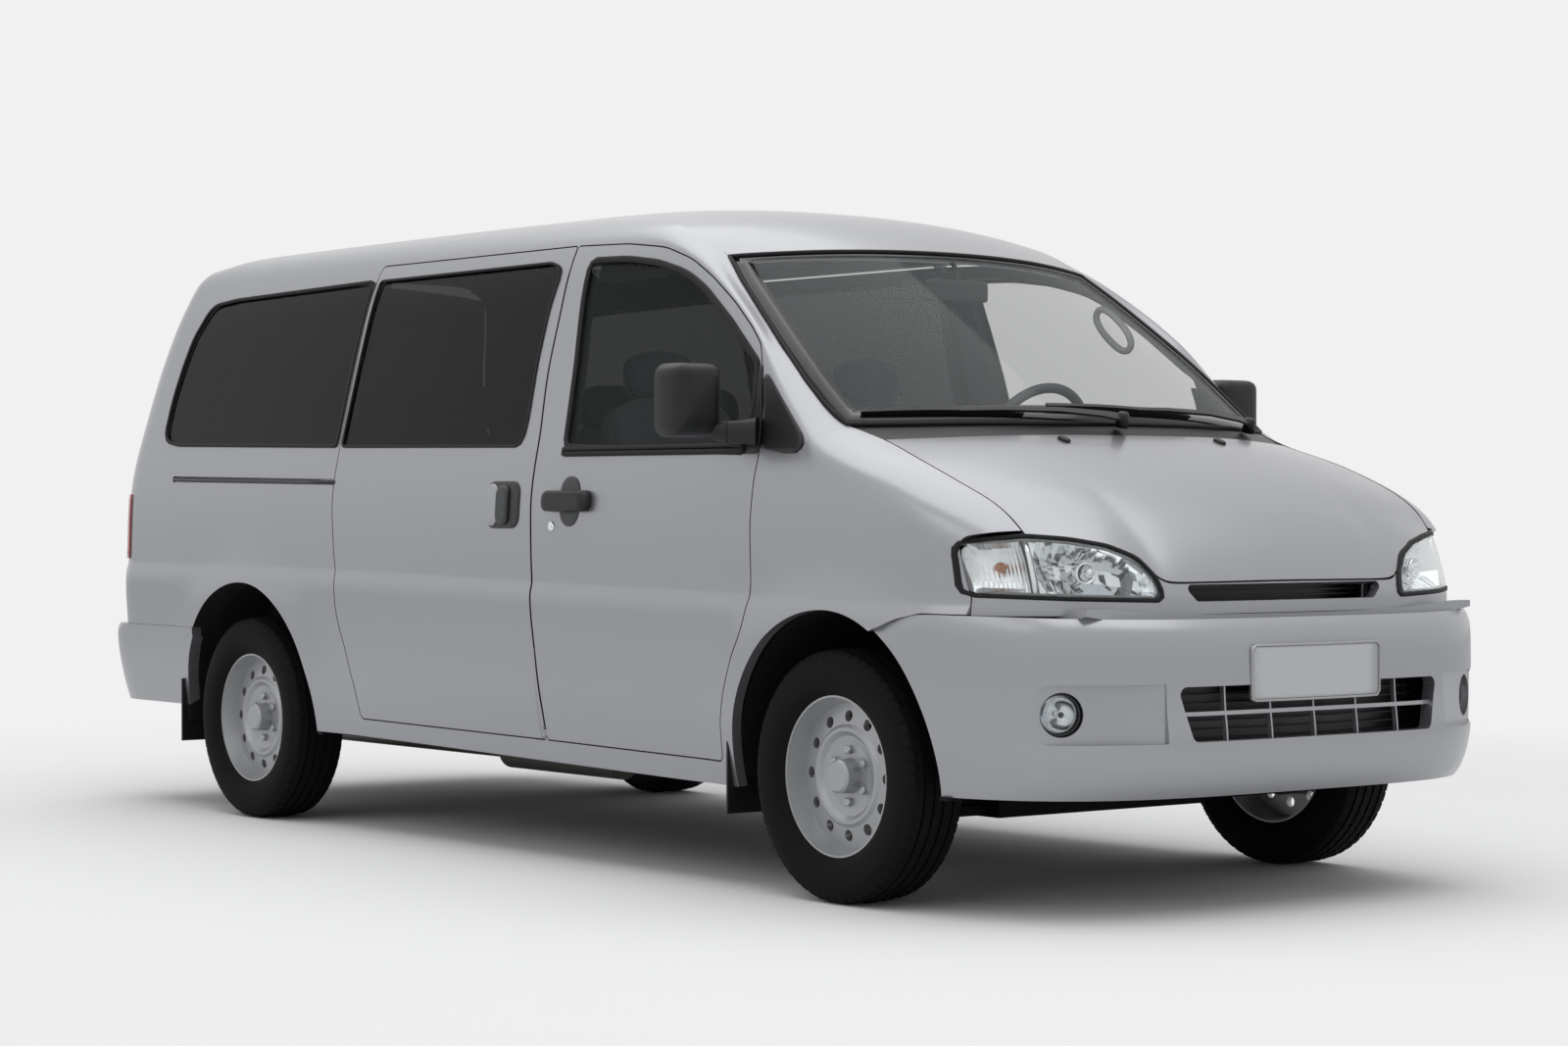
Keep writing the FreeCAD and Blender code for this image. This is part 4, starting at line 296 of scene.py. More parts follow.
def sheet_piece(name, grid, look, body, thickness=0.0015, closed=False, flip=False, smooth=True):
    """A thin solid from a grid of points: the grid is its outer face, and its back lies a thickness behind."""
    rows, columns = len(grid), len(grid[0])
    front = [Vector(p) for row in grid for p in row]
    normals = [Vector() for _ in front]
    faces = grid_faces(rows, columns, 0, closed, flip)
    for face in faces:
        a, b, c, d = (front[i] for i in face)
        normal = (c - a).cross(d - b)
        for i in face:
            normals[i] += normal
    back = [p - n.normalized() * thickness for p, n in zip(front, normals)]
    count = len(front)
    faces += grid_faces(rows, columns, count, closed, not flip)
    last_row = (rows - 1) * columns
    if closed:
        loops = [list(range(columns)), [last_row + j for j in range(columns)][::-1]]
    else:
        rim = list(range(columns)) + [i * columns + columns - 1 for i in range(1, rows)]
        rim += [last_row + j for j in range(columns - 2, -1, -1)] + [i * columns for i in range(rows - 2, 0, -1)]
        loops = [rim]
    for loop in loops:
        for a, b in zip(loop, loop[1:] + loop[:1]):
            side = (b, a, a + count, b + count)
            faces.append(side[::-1] if flip else side)
    return build(name, front + back, faces, look, body, smooth)


def loft(name, rings, look, body, angle=35.0):
    """A solid through closed rings of points, capped at both ends; edges over the angle stay sharp."""
    count = len(rings[0])
    faces = grid_faces(len(rings), count, 0, True)
    faces.append(tuple(range(count)))
    faces.append(tuple((len(rings) - 1) * count + j for j in range(count)))
    piece = build(name, [p for ring in rings for p in ring], faces, look, body)
    piece.data.set_sharp_from_angle(angle=math.radians(angle))
    return piece


def oval(centre, one, two, half_one, half_two, power=2.6, count=28):
    """A ring of points: a superellipse in the plane of two unit vectors."""
    ring = []
    for k in range(count):
        angle = 2 * math.pi * k / count
        c, s = math.cos(angle), math.sin(angle)
        reach = (abs(c) ** power + abs(s) ** power) ** (-1.0 / power)
        ring.append(centre + one * (half_one * c * reach) + two * (half_two * s * reach))
    return ring


def rounded(corners, grow=0.0, step=0.02):
    """Points along a closed outline of (u, v, radius) corners in millimetres, grown outwards, in metres."""
    points = [Vector((u / 1000.0, v / 1000.0)) for u, v, _ in corners]
    count = len(points)
    area = sum(points[i - 1].x * points[i].y - points[i].x * points[i - 1].y for i in range(count))
    turn = 1.0 if area > 0 else -1.0
    moved = []
    for i, point in enumerate(points):
        before = (point - points[i - 1]).normalized()
        after = (points[(i + 1) % count] - point).normalized()
        bisector = Vector((before.y + after.y, -before.x - after.x)) * turn
        moved.append(point + bisector * (grow * 2.0 / bisector.length_squared))
    path = []
    for i, point in enumerate(moved):
        before, after = moved[i - 1] - point, moved[(i + 1) % count] - point
        half = before.angle(after) / 2.0
        reach = min(max(0.001, corners[i][2] / 1000.0 + grow) / math.tan(half), 0.49 * before.length,
                    0.49 * after.length)
        start, end = point + before.normalized() * reach, point + after.normalized() * reach
        weight = math.sin(half)
        steps = max(3, int((end - start).length / step) + 2)
        for k in range(steps):
            t = k / (steps - 1)
            a, b, c = (1 - t) ** 2, 2 * weight * t * (1 - t), t * t
            path.append((start * a + point * b + end * c) / (a + b + c))
    dense = []
    for a, b in zip(path, path[1:] + path[:1]):
        parts = max(1, int((b - a).length / step))
        dense += [a.lerp(b, k / parts) for k in range(parts) if (b - a).length > 1e-6]
    return dense


print("mesh helpers ready")

# %% Rays at the skin
GLASS_INSET = 0.004  # the panes lie this far under the panels round them
FAR_OUT = 1.3        # rays start here, outside the mirrors
HOLE_STEP = 0.012    # a ray that may fall in a gap has neighbours this far off


def tree_of(*names):
    """A search tree of some nodes' faces, and which of its faces are glass."""
    points, faces, glass = [], [], []
    for name in names:
        mesh = nodes[name].data
        base = len(points)
        points += [v.co.copy() for v in mesh.vertices]
        faces += [[base + i for i in p.vertices] for p in mesh.polygons]
        glass += ["glass" in name] * len(mesh.polygons)
    return BVHTree.FromPolygons(points, faces), glass


SIDES = ((-1, "right"), (1, "left"))
side_trees = {side: tree_of(f"side_{name}", f"door_{name}", f"sliding_door_{name}", f"fender_{name}",
                            f"door_glass_{name}", "side_glass") for side, name in SIDES}


def skin(side, x, z, lift=0.0):
    """Point of the body side's outer skin at (x, z), as if gaps and windows were filled."""
    tree, glass = side_trees[side]
    best = 0.0
    for right, up in ((0, 0), (1, 0), (-1, 0), (0, 1), (0, -1)):
        start = Vector((x + right * HOLE_STEP, side * FAR_OUT, z + up * HOLE_STEP))
        place, _, index, _ = tree.ray_cast(start, Vector((0, -side, 0)))
        if place is not None:
            reach = abs(place.y) + (GLASS_INSET if glass[index] else 0.0)
            best = max(best, reach)
    return Vector((x, side * (best + lift), z))


def strip(name, side, outline, grows, lifts, look, body, thickness=0.002):
    """A closed band along a side-view outline: one row for each amount that the outline is grown."""
    rows = [rounded(outline, grow / 1000.0, 0.03) for grow in grows]
    count = len(rows[0])
    grid = []
    for row, lift in zip(rows, lifts):
        loop = [row[int(i * len(row) / count) % len(row)] for i in range(count)]
        grid.append([skin(side, p.x, p.y, lift / 1000.0) for p in loop])
    return sheet_piece(name, grid, look, body, thickness, closed=True, flip=side < 0)


def fill(name, side, outline, lift, look, body, rows=14, columns=14, thickness=0.0015):
    """A sheet that fills a side-view outline and lies on the skin."""
    edge = rounded(outline, 0.0, 0.006)
    low, high = min(p.y for p in edge), max(p.y for p in edge)
    grid = []
    for i in range(rows):
        z = low + (high - low) * (0.004 + 0.992 * i / (rows - 1))
        cuts = []
        for a, b in zip(edge, edge[1:] + edge[:1]):
            if (a.y - z) * (b.y - z) <= 0 and abs(a.y - b.y) > 1e-9:
                cuts.append(a.x + (b.x - a.x) * (z - a.y) / (b.y - a.y))
        left, right = min(cuts), max(cuts)
        grid.append([skin(side, left + (right - left) * j / (columns - 1), z, lift / 1000.0)
                     for j in range(columns)])
    return sheet_piece(name, grid, look, body, thickness, flip=side > 0)


# %% [markdown]
# ## Slots and corners in the body side
# The sliding door hangs on a rail that runs in a slot behind it. The slot's black is painted shade: a rubber bed
# a few millimetres under the skin, and a black sheet that lies over the slot further on. The sliding door's front
# edge curves with the front door's, but the frame's solid ends straight near the sill, so a corner in body paint
# fills the difference and keeps the shut line as thin there as it is above.

# %% Rail slot beds
RAIL_SHADE_BED = [(-1970, 1110, 5), (-876, 1095, 1), (-876, 1108, 1), (-1970, 1124, 5)]
# The black rubber bed paints the shade in the rail's slot.
for side, name in SIDES:
    fill(f"rail_slot_shade_{name}", side, RAIL_SHADE_BED, -3.5, rubber, "body", 3, 40)

# %% Sliding door corners
DOOR_CORNER = [(278, 353, 1), (298, 353, 1), (295, 420, 200), (289, 500, 200), (283, 570, 200), (280, 620, 0.5),
               (278, 620, 0.5)]
for side, name in SIDES:
    fill(f"sliding_door_corner_{name}", side, DOOR_CORNER, 0.0, paint, "body", 24, 5)

# %% [markdown]
# ## Windows
# Black rubber runs round every side window and hides the gap between glass and panel. It could be a bevelled
# curve. A band of four rows is used instead: it climbs from the panel, lies flat and drops onto the glass, which
# is the real section, and rays carry it over the panel's curve. Corners are (X, Z, radius).

# %% Window seals
FRONT_WINDOW = [(392, 1192, 30), (370, 1435, 700), (340, 1622, 600), (326, 1743, 26), (520, 1737, 900),
                (680, 1717, 500), (825, 1682, 500), (933, 1632, 500), (1085, 1533, 700), (1246, 1412, 40),
                (1262, 1320, 200), (1262, 1170, 20)]
SLIDING_WINDOW = [(-852, 1742, 14), (120, 1746, 60), (190, 1728, 40), (174, 1600, 600), (168, 1445, 600),
                  (176, 1270, 400), (164, 1200, 40), (-871, 1213, 14)]
QUARTER_WINDOW = [(-892, 1743, 14), (-1378, 1734, 900), (-1778, 1726, 600), (-1940, 1712, 90),
                  (-2020, 1600, 160), (-2052, 1502, 500), (-2078, 1390, 400), (-2086, 1250, 50),
                  (-1981, 1233, 300), (-902, 1215, 14)]
WIDE_SEAL = (7, 5, -11, -13), (0.3, 2.2, 1.6, -4.2)  # how far each row is grown, and how high it is lifted
SLIM_SEAL = (3, 2, -5, -6), (0.3, 1.2, 0.8, -4.2)
for side, name in SIDES:
    strip(f"front_window_seal_{name}", side, FRONT_WINDOW, *WIDE_SEAL, rubber, f"door_{name}")
    strip(f"sliding_window_seal_{name}", side, SLIDING_WINDOW, *SLIM_SEAL, rubber, "body")
    strip(f"quarter_window_seal_{name}", side, QUARTER_WINDOW, *SLIM_SEAL, rubber, "body")

# %% [markdown]
# The small triangle in front of the door window is no glass but a black cover. One part of it opens with the
# door and the other stays on the body, so they are two thin sheets with a gap between them.

# %% Sail panels in front of the door windows
DOOR_SAIL = [(1258, 1414, 6), (1270, 1396, 6), (1296, 1300, 200), (1316, 1200, 100), (1314, 1166, 6), (1256, 1166, 6)]
BODY_SAIL = [(1276, 1398, 10), (1378, 1311, 300), (1490, 1217, 30), (1508, 1187, 14), (1484, 1165, 30),
             (1329, 1168, 10), (1312, 1260, 200)]
for side, name in SIDES:
    fill(f"door_sail_{name}", side, DOOR_SAIL, 1.6, black_plastic, f"door_{name}", 16, 6)
    fill(f"body_sail_{name}", side, BODY_SAIL, 1.6, black_plastic, "body", 16, 12)

# %% [markdown]
# The windshield is glued in, and black ceramic fired on its rim hides the glue. It could be a second material on
# the pane, but the frame's polygons don't follow its line, so it is a thin sheet that lies on the glass. A point
# on the glass is named by its share across (-1 to 1) and how far down it is (0 to 1).

# %% Points on the windshield
CENTRE_HEAD, CENTRE_FALL = (1033, 1754), (767, 508)  # its middle line in mm: (X, Z) at the roof, and the way down
CENTRE_BOW = 14                                      # how far that line stands over a straight one
EDGE_HEAD, EDGE_RUN = 900, 660                       # X of its side edge at the roof, and the way forward
SIDE_SWEEP = 2.2                                     # how late the glass turns back towards its sides
GLASS_EDGE = [(900, 662, 1724), (1003, 697, 1651), (1120, 724, 1565), (1259, 754, 1461), (1380, 772, 1366),
              (1472, 776, 1292), (1531, 779, 1249), (1568, 763, 1234)]
windshield_tree, _ = tree_of("windshield")


def along_table(table, x):
    """A row of a table, worked out between its neighbours."""
    for low, high in zip(table, table[1:]):
        if x <= high[0]:
            t = (x - low[0]) / (high[0] - low[0])
            return [a + (b - a) * t for a, b in zip(low, high)]
    return list(table[-1])


def windshield_at(share, down, lift=0.0):
    """Point on the windshield's outer face: share across, down from the roof (0) to the cowl (1)."""
    centre = Vector((CENTRE_HEAD[0] + CENTRE_FALL[0] * down, 0,
                     CENTRE_HEAD[1] - CENTRE_FALL[1] * down + CENTRE_BOW * math.sin(math.pi * down)))
    edge_x = EDGE_HEAD + EDGE_RUN * down
    _, edge_y, edge_z = along_table(GLASS_EDGE, edge_x)
    bow = abs(share) ** SIDE_SWEEP
    guess = Vector((centre.x + (edge_x - centre.x) * bow, share * edge_y,
                    centre.z + (edge_z - centre.z) * bow)) / 1000.0
    way = Vector((0.55, 0.12 * share, 0.83)).normalized()
    place, normal, _, _ = windshield_tree.ray_cast(guess + way * 0.08, -way)
    if place is None:
        place, normal, _, _ = windshield_tree.find_nearest(guess)
    if normal.x < 0:
        normal = -normal
    return place + normal * lift


print("windshield's middle:", [round(c, 3) for c in windshield_at(0.0, 0.5)])

# %% Windshield band
OUTER_BAND, INNER_BAND = (0.992, 0.012, 0.985), (0.925, 0.040, 0.90)  # (share across, top, foot)


def band_grid(steps, lift):
    """Rows round the windshield's rim, from its edge inwards to the band's inner edge."""
    grid = []
    for depth in (0.0, 0.5, 1.0):
        edge, top, foot = (outer + (inner - outer) * depth for outer, inner in zip(OUTER_BAND, INNER_BAND))
        loop = [(-edge + 2 * edge * k / steps, top) for k in range(steps)]
        loop += [(edge, top + (foot - top) * k / steps) for k in range(steps)]
        loop += [(edge - 2 * edge * k / steps, foot) for k in range(steps)]
        loop += [(-edge, foot + (top - foot) * k / steps) for k in range(steps)]
        grid.append([windshield_at(share, down, lift) for share, down in loop])
    return grid


sheet_piece("windshield_band", band_grid(24, 0.0012), frit, "body", 0.0008, closed=True, flip=True)

# %% [markdown]
# ## Round bars that follow a path
# The rubber round the windshield, head rest posts, valves and small arms are all round bars on a path. Each
# could be a bevelled curve object. One Geometry Nodes tree does it for all of them: it takes a line of points,
# a radius and a material, and the result is settled into a plain mesh, which every exporter understands.

# %% The tube tree
def tube_tree():
    """The node tree: mesh line to curve, circle along it, smooth, real, with its material."""
    tree = bpy.data.node_groups.new("tube_along_path", "GeometryNodeTree")
    face = tree.interface
    face.new_socket("Geometry", in_out="INPUT", socket_type="NodeSocketGeometry")
    radius = face.new_socket("Radius", in_out="INPUT", socket_type="NodeSocketFloat")
    face.new_socket("Material", in_out="INPUT", socket_type="NodeSocketMaterial")
    sides = face.new_socket("Sides", in_out="INPUT", socket_type="NodeSocketInt")
    face.new_socket("Geometry", in_out="OUTPUT", socket_type="NodeSocketGeometry")
    radius.default_value, sides.default_value = 0.005, 10
    entry = add_node(tree, "NodeGroupInput")
    curve = add_node(tree, "GeometryNodeMeshToCurve", {"Mesh": entry.outputs["Geometry"]})
    ring = add_node(tree, "GeometryNodeCurvePrimitiveCircle", {"Resolution": entry.outputs["Sides"],
                                                              "Radius": entry.outputs["Radius"]})
    solid = add_node(tree, "GeometryNodeCurveToMesh", {"Curve": curve.outputs["Curve"],
                                                      "Profile Curve": ring.outputs["Curve"], "Fill Caps": True})
    smooth = add_node(tree, "GeometryNodeSetShadeSmooth", {"Geometry": solid.outputs["Mesh"]})
    real = add_node(tree, "GeometryNodeRealizeInstances", {"Geometry": smooth.outputs["Geometry"]})
    finish = add_node(tree, "GeometryNodeSetMaterial", {"Geometry": real.outputs["Geometry"],
                                                       "Material": entry.outputs["Material"]})
    add_node(tree, "NodeGroupOutput", {"Geometry": finish.outputs["Geometry"]})
    return tree


TUBES = tube_tree()
print("tube tree:", len(TUBES.nodes), "nodes")


def give_tree(piece, tree, **values):
    """Gives a piece a node tree with its inputs, and settles the result into a plain mesh."""
    modifier = piece.modifiers.new("tree", "NODES")
    modifier.node_group = tree
    for item in tree.interface.items_tree:
        if item.in_out == "INPUT" and item.name in values:
            modifier[item.identifier] = values[item.name]
    bpy.context.view_layer.update()
    graph = bpy.context.evaluated_depsgraph_get()
    mesh = bpy.data.meshes.new_from_object(piece.evaluated_get(graph))
    piece.modifiers.clear()
    piece.data = mesh
    return piece


def tube(name, path, radius, look, body, closed=False, sides=10):
    """A round bar along a path of points."""
    mesh = bpy.data.meshes.new(name)
    edges = [(i, i + 1) for i in range(len(path) - 1)] + ([(len(path) - 1, 0)] if closed else [])
    mesh.from_pydata([tuple(p) for p in path], edges, [])
    piece = bpy.data.objects.new(name, mesh)
    bpy.context.scene.collection.objects.link(piece)
    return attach(give_tree(piece, TUBES, Radius=radius, Material=look, Sides=sides), body)

# %% Windshield seal
SEAL_RADIUS = 0.0065
seal_path = [(-1 + 2 * k / 40, 0.006) for k in range(40)] + [(0.997, 0.01 + 0.98 * k / 30) for k in range(30)]
seal_path += [(0.99 - 1.98 * k / 40, 0.992) for k in range(40)]
seal_path += [(-0.997, 0.99 - 0.98 * k / 30) for k in range(30)]
tube("windshield_seal", [windshield_at(share, down, 0.001) for share, down in seal_path], SEAL_RADIUS, rubber,
     "body", closed=True)

# %% [markdown]
# ## Nose
# The nose wraps round from one wheel arch to the other, so a ray straight from the front would slide past its
# corners. A point on it is found from how far out and how high it is, by a ray along the surface's own
# direction, which a drawn line of the nose gives.

# %% Points on the nose
NOSE_NAMES = ("grille_panel", "front_lamps", "fender_right", "fender_left", "bumper_front")
nose_tree, _ = tree_of(*NOSE_NAMES)
RAKE = [(0.80, 0.0), (0.84, 0.010), (0.90, 0.030), (0.955, 0.056), (1.0, 0.080)]  # height, leaned back by
NOSE_BACK, NOSE_REACH = 1.9375, 0.470     # X where the nose meets the side, and how far it comes forward
NOSE_HALF = 0.897                         # half of its width
NOSE_SQUARE, NOSE_ROUND = 3.2, 0.4        # how square its corners are in the plan
LEAN_UP = 0.12                            # how much the surface looks upwards


def nose_line(y, z):
    """Drawn nose surface: X at so far out and so high."""
    lean = along_table(RAKE, max(z, 0.8))[1]
    return NOSE_BACK + NOSE_REACH * max(0.0, 1.0 - (abs(y) / NOSE_HALF) ** NOSE_SQUARE) ** NOSE_ROUND - lean


def nose_way(side, y, z):
    """The direction that the nose's surface looks in."""
    slope = (nose_line(y + 0.002, z) - nose_line(y - 0.002, z)) / 0.004
    return Vector((1.0, -slope * side, LEAN_UP)).normalized()


def nose(side, y, z, lift=0.0):
    """Point on the nose's skin, lifted off it; y and z in metres, y counted outwards."""
    way = nose_way(side, y, z)
    guess = Vector((nose_line(y, z), side * y, z))
    place, _, _, _ = nose_tree.ray_cast(guess + way * 0.05, -way, 0.1)
    return (place or guess) + way * lift


print("nose at its middle, X:", round(nose_line(0.0, 0.8), 3))

# %% Bands and filled outlines
def ring_piece(name, outline, grows, lifts, look, body, project, thickness=0.002, flip=False, step=0.02):
    """A closed band along an outline of millimetres, through any of the point functions."""
    rows = [rounded(outline, grow / 1000.0, step) for grow in grows]
    count = max(len(row) for row in rows)
    grid = []
    for row, lift in zip(rows, lifts):
        loop = resample(row, count)
        grid.append([project(p.x, p.y, lift / 1000.0) for p in loop])
    return sheet_piece(name, grid, look, body, thickness, closed=True, flip=flip)


def resample(loop, count):
    """A closed loop of 2-D points as so many evenly spaced ones."""
    lengths = [(b - a).length for a, b in zip(loop, loop[1:] + loop[:1])]
    total, result, i, walked = sum(lengths), [], 0, 0.0
    for k in range(count):
        goal = total * k / count
        while walked + lengths[i] < goal and i < len(loop) - 1:
            walked += lengths[i]
            i += 1
        t = (goal - walked) / max(lengths[i], 1e-9)
        result.append(loop[i].lerp(loop[(i + 1) % len(loop)], min(t, 1.0)))
    return result


def fan_piece(name, outline, centre, look, body, project, lift=0.0, thickness=0.002, rings=6, flip=False,
              grow=0.0, sink=None):
    """A filled outline: rings from its edge to its centre. sink(share, u, v) pushes it in by so much."""
    edge = rounded(outline, grow / 1000.0, 0.012)
    middle = Vector((centre[0] / 1000.0, centre[1] / 1000.0))
    count = len(edge)
    front, back = [], []
    for i in range(rings):
        share = 1.0 - i / rings
        for p in edge:
            at = middle.lerp(p, share)
            deep = sink(share, at.x, at.y) if sink else 0.0
            front.append(project(at.x, at.y, lift / 1000.0 - deep))
            back.append(project(at.x, at.y, lift / 1000.0 - deep - thickness))
    deep = sink(0.0, middle.x, middle.y) if sink else 0.0
    front.append(project(middle.x, middle.y, lift / 1000.0 - deep))
    back.append(project(middle.x, middle.y, lift / 1000.0 - deep - thickness))
    faces = grid_faces(rings, count, 0, True)
    faces += [((rings - 1) * count + j, (rings - 1) * count + (j + 1) % count, rings * count) for j in range(count)]
    size = len(front)
    faces += [tuple(size + i for i in face[::-1]) for face in faces]
    faces += [((j + 1) % count, j, size + j, size + (j + 1) % count) for j in range(count)]
    if flip:
        faces = [face[::-1] for face in faces]
    return build(name, front + back, faces, look, body)

# %% [markdown]
# Bulbs, knobs, caps and lens bowls are turned forms. A Screw modifier on a profile would make them too; here the
# profile's rings are written straight into the mesh, so a turned piece needs no modifier and stands where its
# axis says. Rounded blocks and bulbs share one pattern of points, that of a ball.

# %% Turned pieces
def frame_of(way):
    """A direction and two more at right angles to it."""
    way = way.normalized()
    one = way.cross(Vector((0, 0, 1))).normalized()
    return way, one, way.cross(one)


def lathe(name, centre, way, profile, look, body, segments=48):
    """A ring solid: (radius, distance along way) points go round the axis; the profile is closed."""
    way, one, two = frame_of(way)
    points = []
    for radius, far in profile:
        for j in range(segments):
            angle = 2 * math.pi * j / segments
            points.append(centre + way * far + one * (radius * math.cos(angle)) + two * (radius * math.sin(angle)))
    count = len(profile)
    faces = []
    for i in range(count):
        n = (i + 1) % count
        for j in range(segments):
            k = (j + 1) % segments
            faces.append((i * segments + j, i * segments + k, n * segments + k, n * segments + j))
    return build(name, points, faces, look, body)


def globe(name, place, look, body, across, around):
    """A closed form with a ball's points: place(way) says where the point in that direction goes."""
    points = []
    for i in range(across + 1):
        polar = math.pi * i / across
        for j in range(around if 0 < i < across else 1):
            angle = 2 * math.pi * j / around
            points.append(place(Vector((math.sin(polar) * math.cos(angle), math.sin(polar) * math.sin(angle),
                                        math.cos(polar)))))
    faces = [(0, 1 + j, 1 + (j + 1) % around) for j in range(around)]
    for i in range(across - 2):
        base = 1 + i * around
        faces += [(base + j, base + around + j, base + around + (j + 1) % around, base + (j + 1) % around)
                  for j in range(around)]
    last, base = len(points) - 1, 1 + (across - 2) * around
    faces += [(base + j, last, base + (j + 1) % around) for j in range(around)]
    return build(name, points, faces, look, body)


def ball(name, centre, radius, look, body, way=Vector((1, 0, 0)), stretch=1.0, segments=20):
    """A rounded bulb or knob, stretched along a direction."""
    turn = way.normalized().to_track_quat("Z", "Y").to_matrix()
    place = lambda at: centre + turn @ (Vector((at.x, at.y, at.z * stretch)) * radius)
    return globe(name, place, look, body, segments // 2, segments)


def blocky(way, half, power):
    """Where a direction leaves a block of these half sizes; a higher power makes it squarer."""
    reach = sum(abs(c) ** power for c in way) ** (-1.0 / power)
    return Vector((way.x * half[0], way.y * half[1], way.z * half[2])) * reach


print("turned pieces ready")

# %% [markdown]
# ## Headlamps
# A headlamp is a clear moulded lens over a metallised bowl, with a corner section for the indicator and a line
# of rubber round it. A lens alone would look like a hole, because clear plastic shows what is behind it. So each
# part of the real lamp is there: bowl, bulbs, divider, bezel and lens, set back from the nose's skin.

# %% Headlamps
LAMP = [(870, 806, 20), (862, 944, 34), (744, 956, 60), (649, 948, 200), (555, 931, 100), (483, 901, 60),
        (440, 852, 40), (421, 790, 16), (682, 797, 200)]
LAMP_FOOT = [(0.432, 0.797), (0.682, 0.803), (0.862, 0.812)]  # (how far out, how high) of its lower edge
LAMP_HEAD = [(0.446, 0.852), (0.483, 0.893), (0.555, 0.923), (0.649, 0.940), (0.744, 0.948), (0.856, 0.936)]
LAMP_MIDDLE_Z = 0.87
BULB_HOOD = [(0.0005, 0.0), (0.024, 0.0), (0.027, 0.030), (0.024, 0.030), (0.021, 0.004), (0.0005, 0.004)]
DIVIDER_OUT = 0.749
DIVIDER_SECTION = [(0.006, 0.050), (0.005, 0.006), (-0.005, 0.006), (-0.006, 0.050)]  # (sideways, depth)


def lamp_point(side, out, up, depth):
    """Point behind the lens: out is |y|, up goes from its foot (0) to its head (1)."""
    foot, head = along_table(LAMP_FOOT, out)[1], along_table(LAMP_HEAD, out)[1]
    z = foot + (head - foot) * up
    return Vector((nose_line(out, z), side * out, z)) - nose_way(side, out, LAMP_MIDDLE_Z) * depth


def bowl(name, side, low, high, deep, look, columns, rows, flutes):
    """A reflector between two distances out: deepest in its middle, with upright flutes."""
    grid = []
    for i in range(rows):
        v = i / (rows - 1)
        line = []
        for j in range(columns):
            u = j / (columns - 1)
            hollow = (1 - abs(2 * u - 1) ** 2.6) * (1 - abs(2 * v - 1) ** 2.6)
            ripple = flutes * (j % 2)
            line.append(lamp_point(side, low + (high - low) * u, v, 0.014 + deep * hollow ** 0.6 + ripple))
        grid.append(line)
    return sheet_piece(name, grid, look, "body", 0.002, flip=side > 0, smooth=False)


for side, name in SIDES:
    on_nose = lambda u, v, lift, side=side: nose(side, u, v, lift)
    lens = fan_piece(f"headlamp_lens_{name}", LAMP, (650, 872), lamp_glass, "body", on_nose, 0.0, 0.003, 8,
                     flip=side > 0, grow=-2.5)
    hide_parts("front_lamps")
    ring_piece(f"headlamp_rubber_{name}", LAMP, (1.5, 0.8, -4.0, -5.0), (-6.0, 1.0, 1.2, -0.5), rubber, "body",
               on_nose, 0.003, flip=side > 0)
    ring_piece(f"headlamp_bezel_{name}", LAMP, (-5.0, -9.0, -13.0), (-4.0, -4.5, -12.0), lamp_bezel, "body",
               on_nose, 0.002, flip=side > 0)
    bowl(f"headlamp_reflector_{name}", side, 0.438, 0.740, 0.085, reflector, 17, 4, 0.0028)
    bowl(f"corner_reflector_{name}", side, 0.757, 0.860, 0.030, ribbed_reflector, 26, 9, 0.0012)
    lathe(f"bulb_hood_{name}", lamp_point(side, 0.615, 0.50, 0.066), Vector((0.9, side * 0.25, 0)), BULB_HOOD,
          chrome, "body", 28)
    wall = [[lamp_point(side, DIVIDER_OUT + sideways - 0.004 * up, up, depth) for up in (0.0, 0.25, 0.5, 0.75, 1.0)]
            for sideways, depth in DIVIDER_SECTION]
    sheet_piece(f"headlamp_divider_{name}", wall, chrome, "body", 0.002, flip=side < 0)
    ball(f"corner_bulb_{name}", lamp_point(side, 0.806, 0.52, 0.030), 0.013, amber, "body", stretch=1.5)
    ball(f"main_bulb_{name}", lamp_point(side, 0.600, 0.50, 0.070), 0.010, lamp_glass, "body", stretch=2.6)
    ball(f"bulb_shade_{name}", lamp_point(side, 0.600, 0.50, 0.044), 0.012, chrome, "body", stretch=0.8)

# %% [markdown]
# ## Fog lamps
# Each fog lamp is a round domed lens deep in a dark tube that follows the bumper's hole. Tube, lens and bowl are
# turned from profiles of (radius, distance along the lamp's aim). The profiles are closed, so each part is a
# thin wall with two faces and not a single skin.

